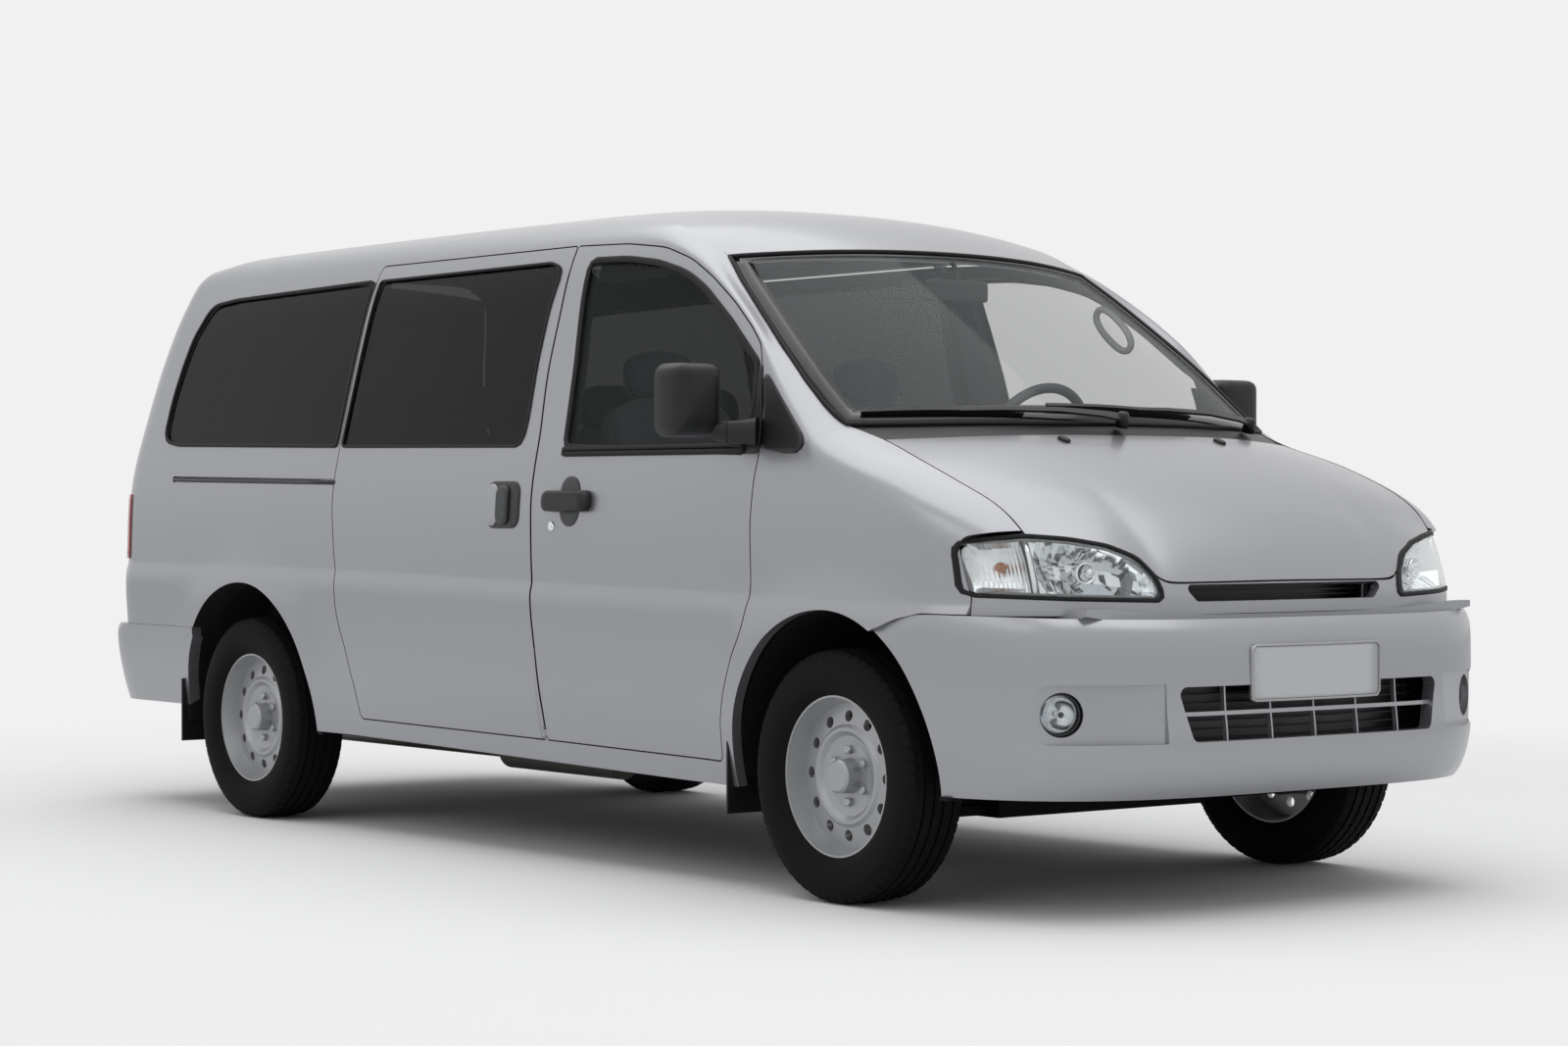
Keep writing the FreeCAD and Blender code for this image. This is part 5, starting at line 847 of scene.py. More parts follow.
# %% Fog lamps
FOG_CENTRE, FOG_AIM = Vector((2.285, 0.698, 0.517)), Vector((0.8, 0.45, 0.0))
FOG_TUBE = [(0.047, 0.0), (0.0535, 0.0), (0.0535, 0.052), (0.051, 0.054), (0.048, 0.050)]
FOG_LENS = [(0.0005, 0.060), (0.014, 0.059), (0.028, 0.055), (0.040, 0.047), (0.0465, 0.038),
            (0.0465, 0.035), (0.039, 0.044), (0.027, 0.052), (0.013, 0.056), (0.0005, 0.057)]
FOG_BOWL = [(0.0005, 0.010), (0.010, 0.011), (0.020, 0.015), (0.030, 0.021), (0.040, 0.031), (0.0462, 0.040),
            (0.0462, 0.036), (0.040, 0.026), (0.030, 0.016), (0.020, 0.010), (0.010, 0.006), (0.0005, 0.005)]
for side, name in SIDES:
    centre = Vector((FOG_CENTRE.x, side * FOG_CENTRE.y, FOG_CENTRE.z))
    aim = Vector((FOG_AIM.x, side * FOG_AIM.y, 0.0)).normalized()
    lathe(f"fog_tube_{name}", centre, aim, FOG_TUBE, lamp_black, "body")
    lathe(f"fog_lens_{name}", centre, aim, FOG_LENS, lamp_glass, "body")
    lathe(f"fog_reflector_{name}", centre, aim, FOG_BOWL, reflector, "body", 40)
    ball(f"fog_bulb_{name}", centre + aim * 0.026, 0.009, chrome, "body", aim, 1.6)

# %% [markdown]
# The front plate is a blank sheet in a thin raised rim, bent a little round the bumper. A point function gives
# the bend, so the same outline tools that follow the skin draw it.

# %% Number plate, blank
PLATE = [(-233, 540, 12), (233, 540, 12), (233, 681, 12), (-233, 681, 12)]
PLATE_X, PLATE_BEND, PLATE_HALF = 2.5145, 0.012, 0.233
front_plate = lambda u, v, lift: Vector((PLATE_X + lift - PLATE_BEND * (u / PLATE_HALF) ** 2, u, v))
fan_piece("front_plate", PLATE, (0, 610), plate_silver, "body", front_plate, 0.0, 0.009, 4, flip=True)
ring_piece("front_plate_rim", PLATE, (0.5, 0.0, -2.5, -3.5), (-5.0, 1.0, 1.0, 0.2), wheel_paint, "body",
           front_plate, 0.0015, flip=True)

# %% [markdown]
# ## Air openings
# Behind the intake and the grille slot stand thin slats, with the dark of the radiator behind them. An Array
# modifier would repeat a slat too. A node tree is used because its count and pitch are named inputs, and the
# same tree serves both openings.

# %% The slat tree
def slat_tree():
    """The node tree: one slat on each point of an upright line."""
    tree = bpy.data.node_groups.new("slats_up_a_line", "GeometryNodeTree")
    face = tree.interface
    face.new_socket("Geometry", in_out="INPUT", socket_type="NodeSocketGeometry")
    for label, kind, value in (("Count", "NodeSocketInt", 5), ("Pitch", "NodeSocketFloat", 0.03)):
        face.new_socket(label, in_out="INPUT", socket_type=kind).default_value = value
    face.new_socket("Material", in_out="INPUT", socket_type="NodeSocketMaterial")
    face.new_socket("Geometry", in_out="OUTPUT", socket_type="NodeSocketGeometry")
    entry = add_node(tree, "NodeGroupInput")
    step = add_node(tree, "ShaderNodeCombineXYZ", {"Z": entry.outputs["Pitch"]})
    line = add_node(tree, "GeometryNodeMeshLine", {"Count": entry.outputs["Count"], "Offset": step.outputs[0]})
    spread = add_node(tree, "GeometryNodeInstanceOnPoints", {"Points": line.outputs["Mesh"],
                                                            "Instance": entry.outputs["Geometry"]})
    real = add_node(tree, "GeometryNodeRealizeInstances", {"Geometry": spread.outputs["Instances"]})
    finish = add_node(tree, "GeometryNodeSetMaterial", {"Geometry": real.outputs["Geometry"],
                                                       "Material": entry.outputs["Material"]})
    add_node(tree, "NodeGroupOutput", {"Geometry": finish.outputs["Geometry"]})
    return tree


SLATS = slat_tree()
print("slat tree:", len(SLATS.nodes), "nodes")

# %% Slats behind the intake and the grille slot
SPANS = 24        # a slat is bent in so many steps
BACK_SET = 0.03   # the dark back stands this far behind its slats


def bar(name, half, x_of, z, high, deep, look):
    """A flat bar across the nose, bent as x_of(y) says."""
    across = [half * (2 * k / SPANS - 1) for k in range(SPANS + 1)]
    section = ((0, 0), (0, high), (-deep, high), (-deep, 0))
    points = [Vector((x_of(y) + dx, y, z + dz)) for dx, dz in section for y in across]
    row = SPANS + 1
    faces = []
    for i in range(4):
        n = (i + 1) % 4
        faces += [(i * row + j, i * row + j + 1, n * row + j + 1, n * row + j) for j in range(SPANS)]
    faces += [tuple(i * row for i in range(4)), tuple(i * row + SPANS for i in reversed(range(4)))]
    return build(name, points, faces, look, "body", False)


intake_line = lambda y: 2.455 - 0.20 * y * y
slot_line = lambda y: 2.352 - 0.22 * y * y
give_tree(bar("intake_slats", 0.455, intake_line, 0.446, 0.003, 0.020, black_plastic), SLATS, Count=7,
          Pitch=0.022, Material=black_plastic)
bar("intake_back", 0.470, lambda y: intake_line(y) - BACK_SET, 0.435, 0.165, 0.004, lamp_black)
give_tree(bar("grille_slats", 0.350, slot_line, 0.797, 0.003, 0.016, black_plastic), SLATS, Count=3,
          Pitch=0.013, Material=black_plastic)
bar("grille_back", 0.362, lambda y: slot_line(y) - BACK_SET, 0.780, 0.060, 0.004, lamp_black)

# %% [markdown]
# ## Handles, locks and trim on the sides
# A door handle is a moulded bar over a shallow cup, and a key lock is a small turned cap. The cup is a flat
# sheet on the skin, and its dark colour paints the shade of the recess. The blocks could be bevelled cubes, but
# a cube stays flat while the door is curved. Here an outline with round corners is laid on the skin and raised
# in its middle, so that its edge meets the door all round.

# %% Handles
def bent_box(name, side, x0, x1, z0, z1, foot, top, look, body, radius):
    """A rounded block on the skin, in mm: it stands between foot and top above it."""
    corner = [(x0, z0, radius), (x1, z0, radius), (x1, z1, radius), (x0, z1, radius)]
    project = lambda u, v, lift: skin(side, u, v, lift)
    middle = ((x0 + x1) / 2, (z0 + z1) / 2)
    edge_drop = lambda share, u, v: (top - foot) * max(0.0, share - 0.80) ** 2 * 12.0
    return fan_piece(name, corner, middle, look, body, project, top * 1000, top - foot, 10, flip=side > 0,
                     sink=edge_drop)


HANDLE_CUP_SHADE = [(402, 968, 48), (498, 968, 48), (498, 1112, 48), (402, 1112, 48)]
KEY_LOCK = [(0.0005, 0.0), (0.014, 0.0), (0.0145, 0.006), (0.011, 0.0085), (0.0005, 0.009)]
SLIDE_HANDLE = [("frame", (19, 190, 961, 1099), 0.0, 0.0032, lamp_black, 36),
                ("shield", (24, 78, 968, 1092), 0.0034, 0.0085, wheel_paint, 28),
                ("grip", (78, 138, 972, 1088), 0.0036, 0.0140, dark_satin, 22)]
BELT_LINE = [(392, 1170, 4), (1258, 1168, 4), (1258, 1196, 4), (392, 1196, 4)]
for side, name in SIDES:
    door, on_door = f"door_{name}", lambda u, v, lift, side=side: skin(side, u, v, lift)
    # The cup lies flat on the door; its dark colour is painted shade of the recess behind the bar.
    fan_piece(f"handle_cup_shade_{name}", HANDLE_CUP_SHADE, (450, 1040), dark_satin, door, on_door, 1.2, 0.001, 8,
              flip=side > 0)
    bent_box(f"handle_bar_{name}", side, 330, 558, 1011, 1071, 0.001, 0.030, black_plastic, door, 22)
    lathe(f"key_lock_{name}", skin(side, 0.362, 0.968, -0.003), Vector((0, side, 0)), KEY_LOCK, chrome, door, 24)
    for part, place, foot, top, look, radius in SLIDE_HANDLE:
        bent_box(f"slide_handle_{part}_{name}", side, *place, foot, top, look, "body", radius)
    strip(f"belt_rubber_{name}", side, BELT_LINE, (0, -3, -8, -12), (0.5, 7.0, 7.5, 5.0), rubber, door)

# %% [markdown]
# The rail slot is closed by a black strip that paints the slot's shade, as the rubber bed laid before does. It has
# its bed's name with a number, as Blender numbers a second object of the same name.

# %% Rail slot strips
RAIL_SHADE_STRIP = [(-1968, 1122, 7), (-880, 1107, 2), (-880, 1096, 2), (-1968, 1111, 7)]
# The black strip over the slot paints its shade.
for side, name in SIDES:
    on_side = lambda u, v, lift, side=side: skin(side, u, v, lift)
    fan_piece(f"rail_slot_shade_{name}.001", RAIL_SHADE_STRIP, (-1424, 1109), lamp_black, "body", on_side, 0.6, 0.0015, 3,
              flip=side > 0)

# %% [markdown]
# ## Wheels
# A tyre is moulded rubber: a rounded side wall, and a tread that grooves cut into ribs, with slots across its
# shoulders. The slots could be cut with booleans, which are slow and leave untidy faces. One function draws the
# tyre as rings of points instead: a groove is a ring with a smaller radius, and a slot is a few points of a ring
# that are pressed in.

# %% Tyres
TYRE_RADIUS = 0.3295
PITCHES, SAMPLES = 60, 6              # slots round the tyre, and points for each of them
SHOULDER_CUT, RIB_CUT = 0.0045, 0.0022
GROOVE_DEPTH = 0.0080
TREAD_SLANT = 9 * 0.12 / 0.07         # how many points a slot runs on for each metre across
WHEEL_FACE = 0.822                    # the nuts stand this far from the car's middle
NUT_CIRCLE = 0.068


def tyre_profile(half):
    """(distance out from the middle, radius, kind) from bead to bead; kind says which part it is."""
    side_wall = [(-half * 0.60, 0.206, "bead"), (-half * 0.74, 0.2065, "bead"), (-half * 0.82, 0.214, "wall"),
                 (-half * 0.94, 0.232, "wall"), (-half * 0.958, 0.236, "wall"), (-half * 0.995, 0.258, "wall"),
                 (-half, 0.272, "wall"), (-half * 0.985, 0.290, "wall"), (-half * 0.970, 0.297, "wall"),
                 (-half * 0.955, 0.299, "wall"), (-half * 0.925, 0.309, "shoulder"),
                 (-half * 0.86, 0.3195, "shoulder"), (-half * 0.79, 0.3255, "shoulder")]
    tread, crown = [], TYRE_RADIUS
    for middle in (-0.048, -0.016, 0.016, 0.048):
        tread += [(middle - 0.0115, crown - 0.004 * abs(middle - 0.0115) / 0.07, "rib"),
                  (middle - 0.0045, crown - 0.0005, "rib"), (middle - 0.0038, crown - GROOVE_DEPTH, "groove"),
                  (middle + 0.0038, crown - GROOVE_DEPTH, "groove"), (middle + 0.0045, crown - 0.0005, "rib")]
    tread.append((0.0595, crown - 0.0035, "rib"))
    return side_wall + tread + [(-x, r, kind) for x, r, kind in side_wall[::-1]]


def tyre(name, body, centre, half, outward):
    """A tyre of the frame's own size round a centre; outward is the side that its outer wall looks to."""
    profile = tyre_profile(half)
    columns = PITCHES * SAMPLES
    points = []
    for across, radius, kind in profile:
        for j in range(columns):
            cut = 0.0
            if kind == "shoulder" and j % SAMPLES == (3 if across > 0 else 0):
                cut = SHOULDER_CUT
            if kind == "rib" and j % SAMPLES == (2 if across > 0 else 5):
                cut = RIB_CUT
            angle = 2 * math.pi * (j + TREAD_SLANT * across) / columns
            r = radius - cut
            points.append(centre + Vector((r * math.cos(angle), outward * across, r * math.sin(angle))))
    for across, radius in ((half * 0.55, 0.212), (-half * 0.55, 0.212)):
        for j in range(columns):
            angle = 2 * math.pi * j / columns
            points.append(centre + Vector((radius * math.cos(angle), outward * across, radius * math.sin(angle))))
    rows = len(profile) + 2
    faces = []
    for i in range(rows):
        n = (i + 1) % rows
        for j in range(columns):
            k = (j + 1) % columns
            face = (i * columns + j, i * columns + k, n * columns + k, n * columns + j)
            faces.append(face if outward > 0 else face[::-1])
    piece = build(name, points, faces, tyre_rubber, body)
    piece.data.set_sharp_from_angle(angle=math.radians(38))
    return piece


def nut_ring(name, body, centre, outward, far):
    """Six hexagon nuts round the hub cap."""
    points, faces = [], []
    for n in range(6):
        turn = math.pi / 6 + n * math.pi / 3
        middle = centre + Vector((NUT_CIRCLE * math.cos(turn), outward * far, NUT_CIRCLE * math.sin(turn)))
        base = len(points)
        for radius, out in ((0.0125, -0.002), (0.0125, 0.010), (0.0100, 0.013), (0.0050, 0.0132)):
            for j in range(6):
                angle = math.pi * j / 3
                points.append(middle + Vector((radius * math.cos(angle), outward * out, radius * math.sin(angle))))
        for i in range(3):
            for j in range(6):
                k = (j + 1) % 6
                face = (base + i * 6 + j, base + i * 6 + k, base + i * 6 + 6 + k, base + i * 6 + 6 + j)
                faces.append(face if outward > 0 else face[::-1])
        cap = tuple(base + 18 + j for j in range(6))
        faces.append(cap if outward > 0 else cap[::-1])
        foot = tuple(base + j for j in range(6))[::-1]
        faces.append(foot if outward > 0 else foot[::-1])
    return build(name, points, faces, steel, body, False)


for axle in ("front", "rear"):
    for side, name in SIDES:
        body = f"wheel_{axle}_{name}"
        low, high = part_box(f"tyre_{axle}_{name}")
        centre = (low + high) / 2
        piece = tyre(f"tread_tyre_{axle}_{name}", body, centre, (high.y - low.y) / 2, side)
        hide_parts(f"tyre_{axle}_{name}")
        face = WHEEL_FACE - abs(centre.y)
        nut_ring(f"wheel_nuts_{axle}_{name}", body, centre, side, face)
        valve = centre + Vector((0.150, side * (face + 0.004), 0.105))
        stem = [valve, valve + Vector((0.004, side * 0.012, 0.002)), valve + Vector((0.008, side * 0.022, 0.005))]
        tube(f"valve_{axle}_{name}", stem, 0.0045, rubber, body)

# %% [markdown]
# ## Door mirrors
# A mirror housing is a moulded shell: nearly flat behind, where the glass sits in a lip, and rounded in front.
# Sculpting it would be quick but hard to repeat on the other side. It is drawn as a row of outlines instead,
# each with its own X, its growth and its rise, and a skin through them. The foot is drawn the same way.

# %% Mirror housings
MIRROR_FACE = [(-80, -99, 32), (80, -99, 32), (80, 98, 36), (-80, 98, 36)]
MIRROR_ROWS = [(1.1500, -10.0, 0.0), (1.1455, -7.0, 0.0), (1.1400, -5.0, 0.0), (1.1405, -1.5, 0.0),
               (1.1460, 0.0, 0.0), (1.1750, 0.0, 0.0), (1.2080, -1.5, 0.001), (1.2270, -6.0, 0.003),
               (1.2390, -14.0, 0.006), (1.2455, -26.0, 0.009), (1.2485, -44.0, 0.011)]
for side, name in SIDES:
    rings = []
    for x, grow, rise in MIRROR_ROWS:
        loop = resample(rounded(MIRROR_FACE, grow / 1000.0, 0.008), 96)
        rings.append([Vector((x, side * (1.010 + p.x), 1.3085 + rise + p.y)) for p in loop])
    shell = loft(f"mirror_shell_{name}", rings, black_plastic, f"door_{name}", 60.0)
    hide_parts(f"mirror_{name}")
    mirror_face = lambda u, v, lift, side=side: Vector((1.1480 - lift, side * u, v))
    fan_piece(f"mirror_glass_{name}", [(939, 1219, 26), (1081, 1219, 26), (1081, 1398, 28), (939, 1398, 28)],
              (1010, 1308), mirror_glass, f"door_{name}", mirror_face, 0.5, 0.002, 4, flip=side < 0)
    way = [Vector((1.206, side * 0.962, 1.232)), Vector((1.226, side * 0.945, 1.226)),
           Vector((1.256, side * 0.915, 1.224)), Vector((1.282, side * 0.888, 1.224)),
           Vector((1.300, side * 0.868, 1.224))]
    sizes = [(0.018, 0.020), (0.026, 0.026), (0.030, 0.030), (0.034, 0.036), (0.038, 0.044)]
    rings = [oval(p, Vector((0, 0, 1)), Vector((0.72, side * 0.69, 0)), a, b, 3.0) for p, (a, b) in zip(way, sizes)]
    loft(f"mirror_foot_{name}", rings, black_plastic, f"door_{name}", 60.0)
    seam = oval(Vector((1.246, side * 0.924, 1.224)), Vector((0, 0, 1)), Vector((0.72, side * 0.69, 0)),
                0.0292, 0.0292, 3.0, 36)
    tube(f"mirror_joint_{name}", seam, 0.0016, rubber, f"door_{name}", closed=True, sides=6)

# %% [markdown]
# ## Wipers
# Each wiper has a pivot cap on the cowl, a flat arm, a holder and a rubber blade that lies on the glass. A bar
# with a four-sided section does for the blade, the holder and the arm. Its stations are found on the windshield,
# so that the blade touches the glass along its whole length.

# %% Wipers
def ribbon(name, stations, look, body):
    """A bar of four-sided sections: (point, outward, across, low, high, half width) for each station."""
    rings = []
    for point, outward, across, low, high, half in stations:
        rings.append([point + outward * low - across * half, point + outward * low + across * half,
                      point + outward * high + across * half, point + outward * high - across * half])
    return loft(name, rings, look, body)


def glass_stations(start, end, low, high, half, steps=14, swell=0.0):
    """Sections along a line on the windshield, for ribbon; swell makes the middle thicker."""
    stations = []
    for k in range(steps + 1):
        t = k / steps
        share, down = start[0] + (end[0] - start[0]) * t, start[1] + (end[1] - start[1]) * t
        point = windshield_at(share, down)
        outward = (windshield_at(share, down, 0.01) - point).normalized()
        ahead = windshield_at(share + 0.02, down + (end[1] - start[1]) * 0.02 / max(0.05, end[0] - start[0]))
        across = outward.cross((ahead - point).normalized()).normalized()
        hump = swell * math.sin(math.pi * t)
        stations.append((point, outward, across, low, high + hump, half))
    return stations


# (side, tip, heel, where the arm holds the blade, pivot), each place as (share across, down)
WIPER_LINES = (("right", (-0.92, 0.925), (-0.40, 0.955), (-0.62, 0.945), (-0.05, 1.0)),
               ("left", (-0.28, 0.915), (0.38, 0.955), (0.10, 0.94), (0.74, 1.0)))
ARM_LINE = [(0.0, 0.020, 0.006), (0.25, 0.030, 0.0075), (0.6, 0.036, 0.0095), (0.86, 0.030, 0.0120),
            (0.93, 0.026, 0.0150), (1.0, 0.022, 0.0150)]  # (share of its way, height, half width)
ARM_THICK = 0.007
PIVOT_CAP = [(0.0005, 0.0), (0.018, 0.0), (0.017, 0.034), (0.012, 0.042), (0.0005, 0.044)]
for name, tip, heel, middle, pivot in WIPER_LINES:
    blade = glass_stations(tip, heel, 0.0010, 0.0100, 0.0022)
    rubber_blade = ribbon(f"wiper_rubber_{name}", blade, rubber, "body")
    holder = glass_stations(tip, heel, 0.0095, 0.0140, 0.0062, swell=0.006)
    ribbon(f"wiper_holder_{name}", holder, black_plastic, "body")
    if name == "right":
        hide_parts("wipers")
    a, b = windshield_at(*middle), windshield_at(*pivot)
    outward = (windshield_at(*middle, 0.01) - a).normalized()
    hub = b + Vector((0.030, 0.0, 0.004))
    across = outward.cross((hub - a).normalized()).normalized()
    ribbon(f"wiper_arm_{name}", [(a.lerp(hub, t), outward, across, lift - ARM_THICK, lift, half)
                                 for t, lift, half in ARM_LINE], black_plastic, "body")
    lathe(f"wiper_cap_{name}", hub + Vector((0, 0, -0.012)), Vector((0.25, 0, 0.97)), PIVOT_CAP, black_plastic,
          "body", 28)

# %% [markdown]
# The washer nozzles are small moulded drops on the hood. They are rounded blocks: a ball whose points are pushed
# out towards a box, which gives crowned faces and soft edges without a bevel.

# %% Washer nozzles
NOZZLE_X, NOZZLE_OUT, HOOD_Z = 1.870, 0.287, 1.195


def soft_block(name, centre, half, look, body, power=4.0, turn=None):
    """A rounded block with slightly crowned faces and soft edges."""
    turn = turn or Matrix.Identity(3)
    return globe(name, lambda way: centre + turn @ blocky(way, half, power), look, body, 28, 40)


hood_tree, _ = tree_of("hood")
for side, name in SIDES:
    place, _, _, _ = hood_tree.ray_cast(Vector((NOZZLE_X, side * NOZZLE_OUT, 1.5)), Vector((0, 0, -1)))
    on_hood = place or Vector((NOZZLE_X, side * NOZZLE_OUT, HOOD_Z))
    soft_block(f"washer_nozzle_{name}", on_hood + Vector((0, 0, 0.003)), (0.020, 0.012, 0.007), black_plastic,
               "hood", 3.0, Matrix.Rotation(0.35, 3, "Y"))

# %% [markdown]
# ## The cabin
# The seats are foam pads in sewn cloth: the foam swells the middle of a pad, the seams hold its channels down,
# and a piping runs round its edge. A cloth simulation can find such a form. Here the same form is pressed into a
# rounded block by a rule, because it is quick, repeats exactly and each channel can be put where it is wanted.

# %% Seat pads
CHANNEL_WIDTH, PIPING_WIDTH, PIPING_DEPTH = 0.011, 0.006, 0.003


def pad(name, centre, half, lean, body, channels, crown=0.22, power=5.0):
    """A seat pad. Its face looks along local Z; channels are valley positions across local X or Y, -1 to 1."""
    turn = Matrix.Rotation(lean, 3, "Y")

    def press(p):
        """Crowns a point of the block, presses the channels in and draws the piping round its edge."""
        u, v, w = p.x / half[0], p.y / half[1], p.z / half[2]
        x, y, z = p
        pull = 1.0 - 0.05 * (1.0 - abs(w)) * (abs(u) + abs(v))
        if w > 0:
            z *= 1.0 + crown * (1 - u * u) * (1 - v * v) - 0.5 * crown
            for axis, spot, deep in channels:
                distance = ((u if axis == "x" else v) - spot) * (half[0] if axis == "x" else half[1])
                z -= deep * math.exp(-(distance / CHANNEL_WIDTH) ** 2)
        seam = math.exp(-((abs(w) - 0.45) * half[2] / PIPING_WIDTH) ** 2) * PIPING_DEPTH
        return Vector((x * pull * (1 - seam / half[0]), y * pull * (1 - seam / half[1]), z))

    piece = globe(name, lambda way: centre + turn @ press(blocky(way, half, power)), cloth, body, 44, 72)
    return piece


BACK_LEAN = 0.26


def seat(name, x0, x1, y, width, z0, z1, back_top, parts=1):
    """Cushion, back and head rests. Returns its cushion."""
    half_w = width / 2
    bolsters = [("y", s * 0.56, 0.010) for s in (-1, 1)] + [("x", s, 0.006) for s in (-0.25, 0.35)]
    if parts > 1:
        bolsters = [("y", -0.34, 0.010), ("y", 0.34, 0.010), ("x", 0.0, 0.006)]
    cushion = pad(f"{name}_cushion", Vector(((x0 + x1) / 2 + 0.02, y, (z0 + z1) / 2)),
                  ((x1 - x0) / 2 - 0.02, half_w - 0.01, (z1 - z0) / 2 - 0.008), -0.06, "body", bolsters)
    back_height = (back_top - z1) / math.cos(BACK_LEAN)
    base = Vector((x0 + 0.075, y, z1 - 0.03))
    up = Vector((-math.sin(BACK_LEAN), 0, math.cos(BACK_LEAN)))
    middle = base + up * (back_height / 2 + 0.01)
    pad(f"{name}_back", middle, (back_height / 2 + 0.01, half_w - 0.015, 0.062), math.pi / 2 - BACK_LEAN, "body",
        bolsters, 0.3)
    places = [0.0] if parts == 1 else [(-1 + 2 * k / (parts - 1)) * half_w * 0.66 for k in range(parts)]
    for k, shift in enumerate(places):
        top = base + up * (back_height + 0.085) + Vector((0.0, shift, 0))
        pad(f"{name}_rest_{k + 1}", top, (0.082, 0.130, 0.050), math.pi / 2 - BACK_LEAN, "body",
            [("x", 0.55, 0.004)], 0.35, 2.9)
        for post in (-0.055, 0.055):
            foot = base + up * (back_height - 0.02) + Vector((0, shift + post, 0))
            tube(f"{name}_post_{k + 1}_{'a' if post < 0 else 'b'}", [foot, foot + up * 0.09], 0.006, steel, "body")
    return cushion


right_seat = seat("front_seat_right", 0.290, 0.790, -0.400, 0.500, 0.720, 0.850, 1.360)
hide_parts("front_seats")
seat("front_seat_left", 0.290, 0.790, 0.400, 0.500, 0.720, 0.850, 1.360)
middle_bench = seat("middle_bench", -0.560, -0.060, 0.0, 1.180, 0.700, 0.830, 1.290, 3)
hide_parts("rear_seats")
seat("rear_bench", -1.630, -1.130, 0.0, 1.140, 0.700, 0.830, 1.290, 3)

# %% [markdown]
# Under each pad stands a moulded box that carries it to the floor. Little of it shows, so one block is enough.

# %% Seat frames under the pads
def plain_box(name, x0, x1, y0, y1, z0, z1, look, body):
    """A block with soft edges."""
    return soft_block(name, Vector(((x0 + x1) / 2, (y0 + y1) / 2, (z0 + z1) / 2)),
                      ((x1 - x0) / 2, (y1 - y0) / 2, (z1 - z0) / 2), look, body, 12.0)


for y in (-0.4, 0.4):
    label = "right" if y < 0 else "left"
    plain_box(f"seat_base_{label}", 0.33, 0.74, y - 0.19, y + 0.19, 0.405, 0.735, cabin_plastic, "body")
for label, x in (("middle", -0.31), ("rear", -1.38)):
    plain_box(f"bench_base_{label}", x - 0.17, x + 0.17, -0.46, 0.46, 0.42, 0.715, soft_black, "body")

# %% [markdown]
# ## Dashboard and controls
# The frame has the dashboard's body. On it come the parts that are clipped in on the real one: the instrument
# hood, vents, centre panel, glove box, heater knobs and gear lever. They are seen only through glass, so they
# are plain blocks with soft edges and a few turned knobs.

# %% Dashboard
HEATER_KNOB = [(0.0005, 0.0), (0.017, 0.0), (0.015, 0.018), (0.0005, 0.018)]
plain_box("instrument_hood", 1.080, 1.250, 0.250, 0.560, 1.165, 1.255, dash_plastic, "body")
plain_box("instrument_face", 1.072, 1.090, 0.275, 0.535, 1.165, 1.240, lamp_black, "body")
plain_box("centre_stack", 1.045, 1.090, -0.150, 0.130, 0.800, 1.150, cabin_plastic, "body")
plain_box("glove_box", 1.050, 1.075, -0.600, -0.210, 0.870, 1.080, cabin_plastic, "body")
for k, y in enumerate((-0.640, -0.075, 0.055, 0.640)):
    plain_box(f"vent_frame_{k + 1}", 1.040, 1.064, y - 0.055, y + 0.055, 1.080, 1.145, lamp_black, "body")
for k, z in enumerate((1.02, 0.93)):
    plain_box(f"stack_panel_{k + 1}", 1.036, 1.050, -0.105, 0.085, z - 0.032, z + 0.032, lamp_black, "body")
for k, y in enumerate((-0.075, -0.010, 0.055)):
    lathe(f"heater_knob_{k + 1}", Vector((1.046, y, 0.845)), Vector((-1, 0, 0)), HEATER_KNOB, lamp_black, "body", 24)
tube("gear_lever", [(0.985, 0.02, 0.84), (0.955, 0.02, 0.93), (0.940, 0.02, 1.00)], 0.007, steel, "body")
ball("gear_knob", Vector((0.937, 0.02, 1.015)), 0.022, lamp_black, "body", Vector((-0.2, 0, 1)), 1.25)
plain_box("gear_console", 0.93, 1.08, -0.06, 0.10, 0.74, 0.86, cabin_plastic, "body")

# %% [markdown]
# The steering wheel's rim and spokes are the frame's. Its padded middle is turned from a profile round the
# column's axis, and rides on the wheel's body, so that it turns with it.

# %% Steering wheel
WHEEL_CENTRE, WHEEL_WAY = Vector((0.985, 0.400, 1.200)), Vector((-1.0, 0.0, 0.45)).normalized()
WHEEL_PAD = [(0.0005, -0.030), (0.050, -0.028), (0.078, -0.006), (0.076, 0.010), (0.055, 0.022), (0.0005, 0.027)]
lathe("steering_pad", WHEEL_CENTRE - WHEEL_WAY * 0.018, WHEEL_WAY, WHEEL_PAD, cabin_plastic, "steering_wheel", 40)

# %% [markdown]
# The mirror inside hangs from the windshield's head on a short stalk. The grab handle beside it is a loop of soft
# plastic, drawn as an oval path with a round bar along it.

# %% Rear-view mirror and grab handle
plain_box("cabin_mirror", 1.085, 1.110, -0.115, 0.115, 1.610, 1.672, lamp_black, "body")
tube("cabin_mirror_arm", [(1.10, 0, 1.655), (1.108, 0, 1.69), (1.085, 0, 1.722)], 0.007, lamp_black, "body")
GRIP_LONG, GRIP_SHORT = Vector((0.76, 0.05, -0.65)), Vector((0.65, 0, 0.76))  # along the pillar, and off it
grip = oval(Vector((1.045, 0.668, 1.552)), GRIP_LONG, GRIP_SHORT, 0.086, 0.034, 2.4, 32)
tube("grab_handle", grip, 0.0105, headliner, "body", closed=True)

# %% [markdown]
# ## Rear end
# The photograph doesn't show the rear, so its pieces are the usual ones of the kind: lamps that wrap round the
# corner, a seal round the glass, a garnish with a grip, a wiper and a blank plate. They are laid on the
# tailgate by rays from behind, and all but the lamps ride on it, so that they lift with it.

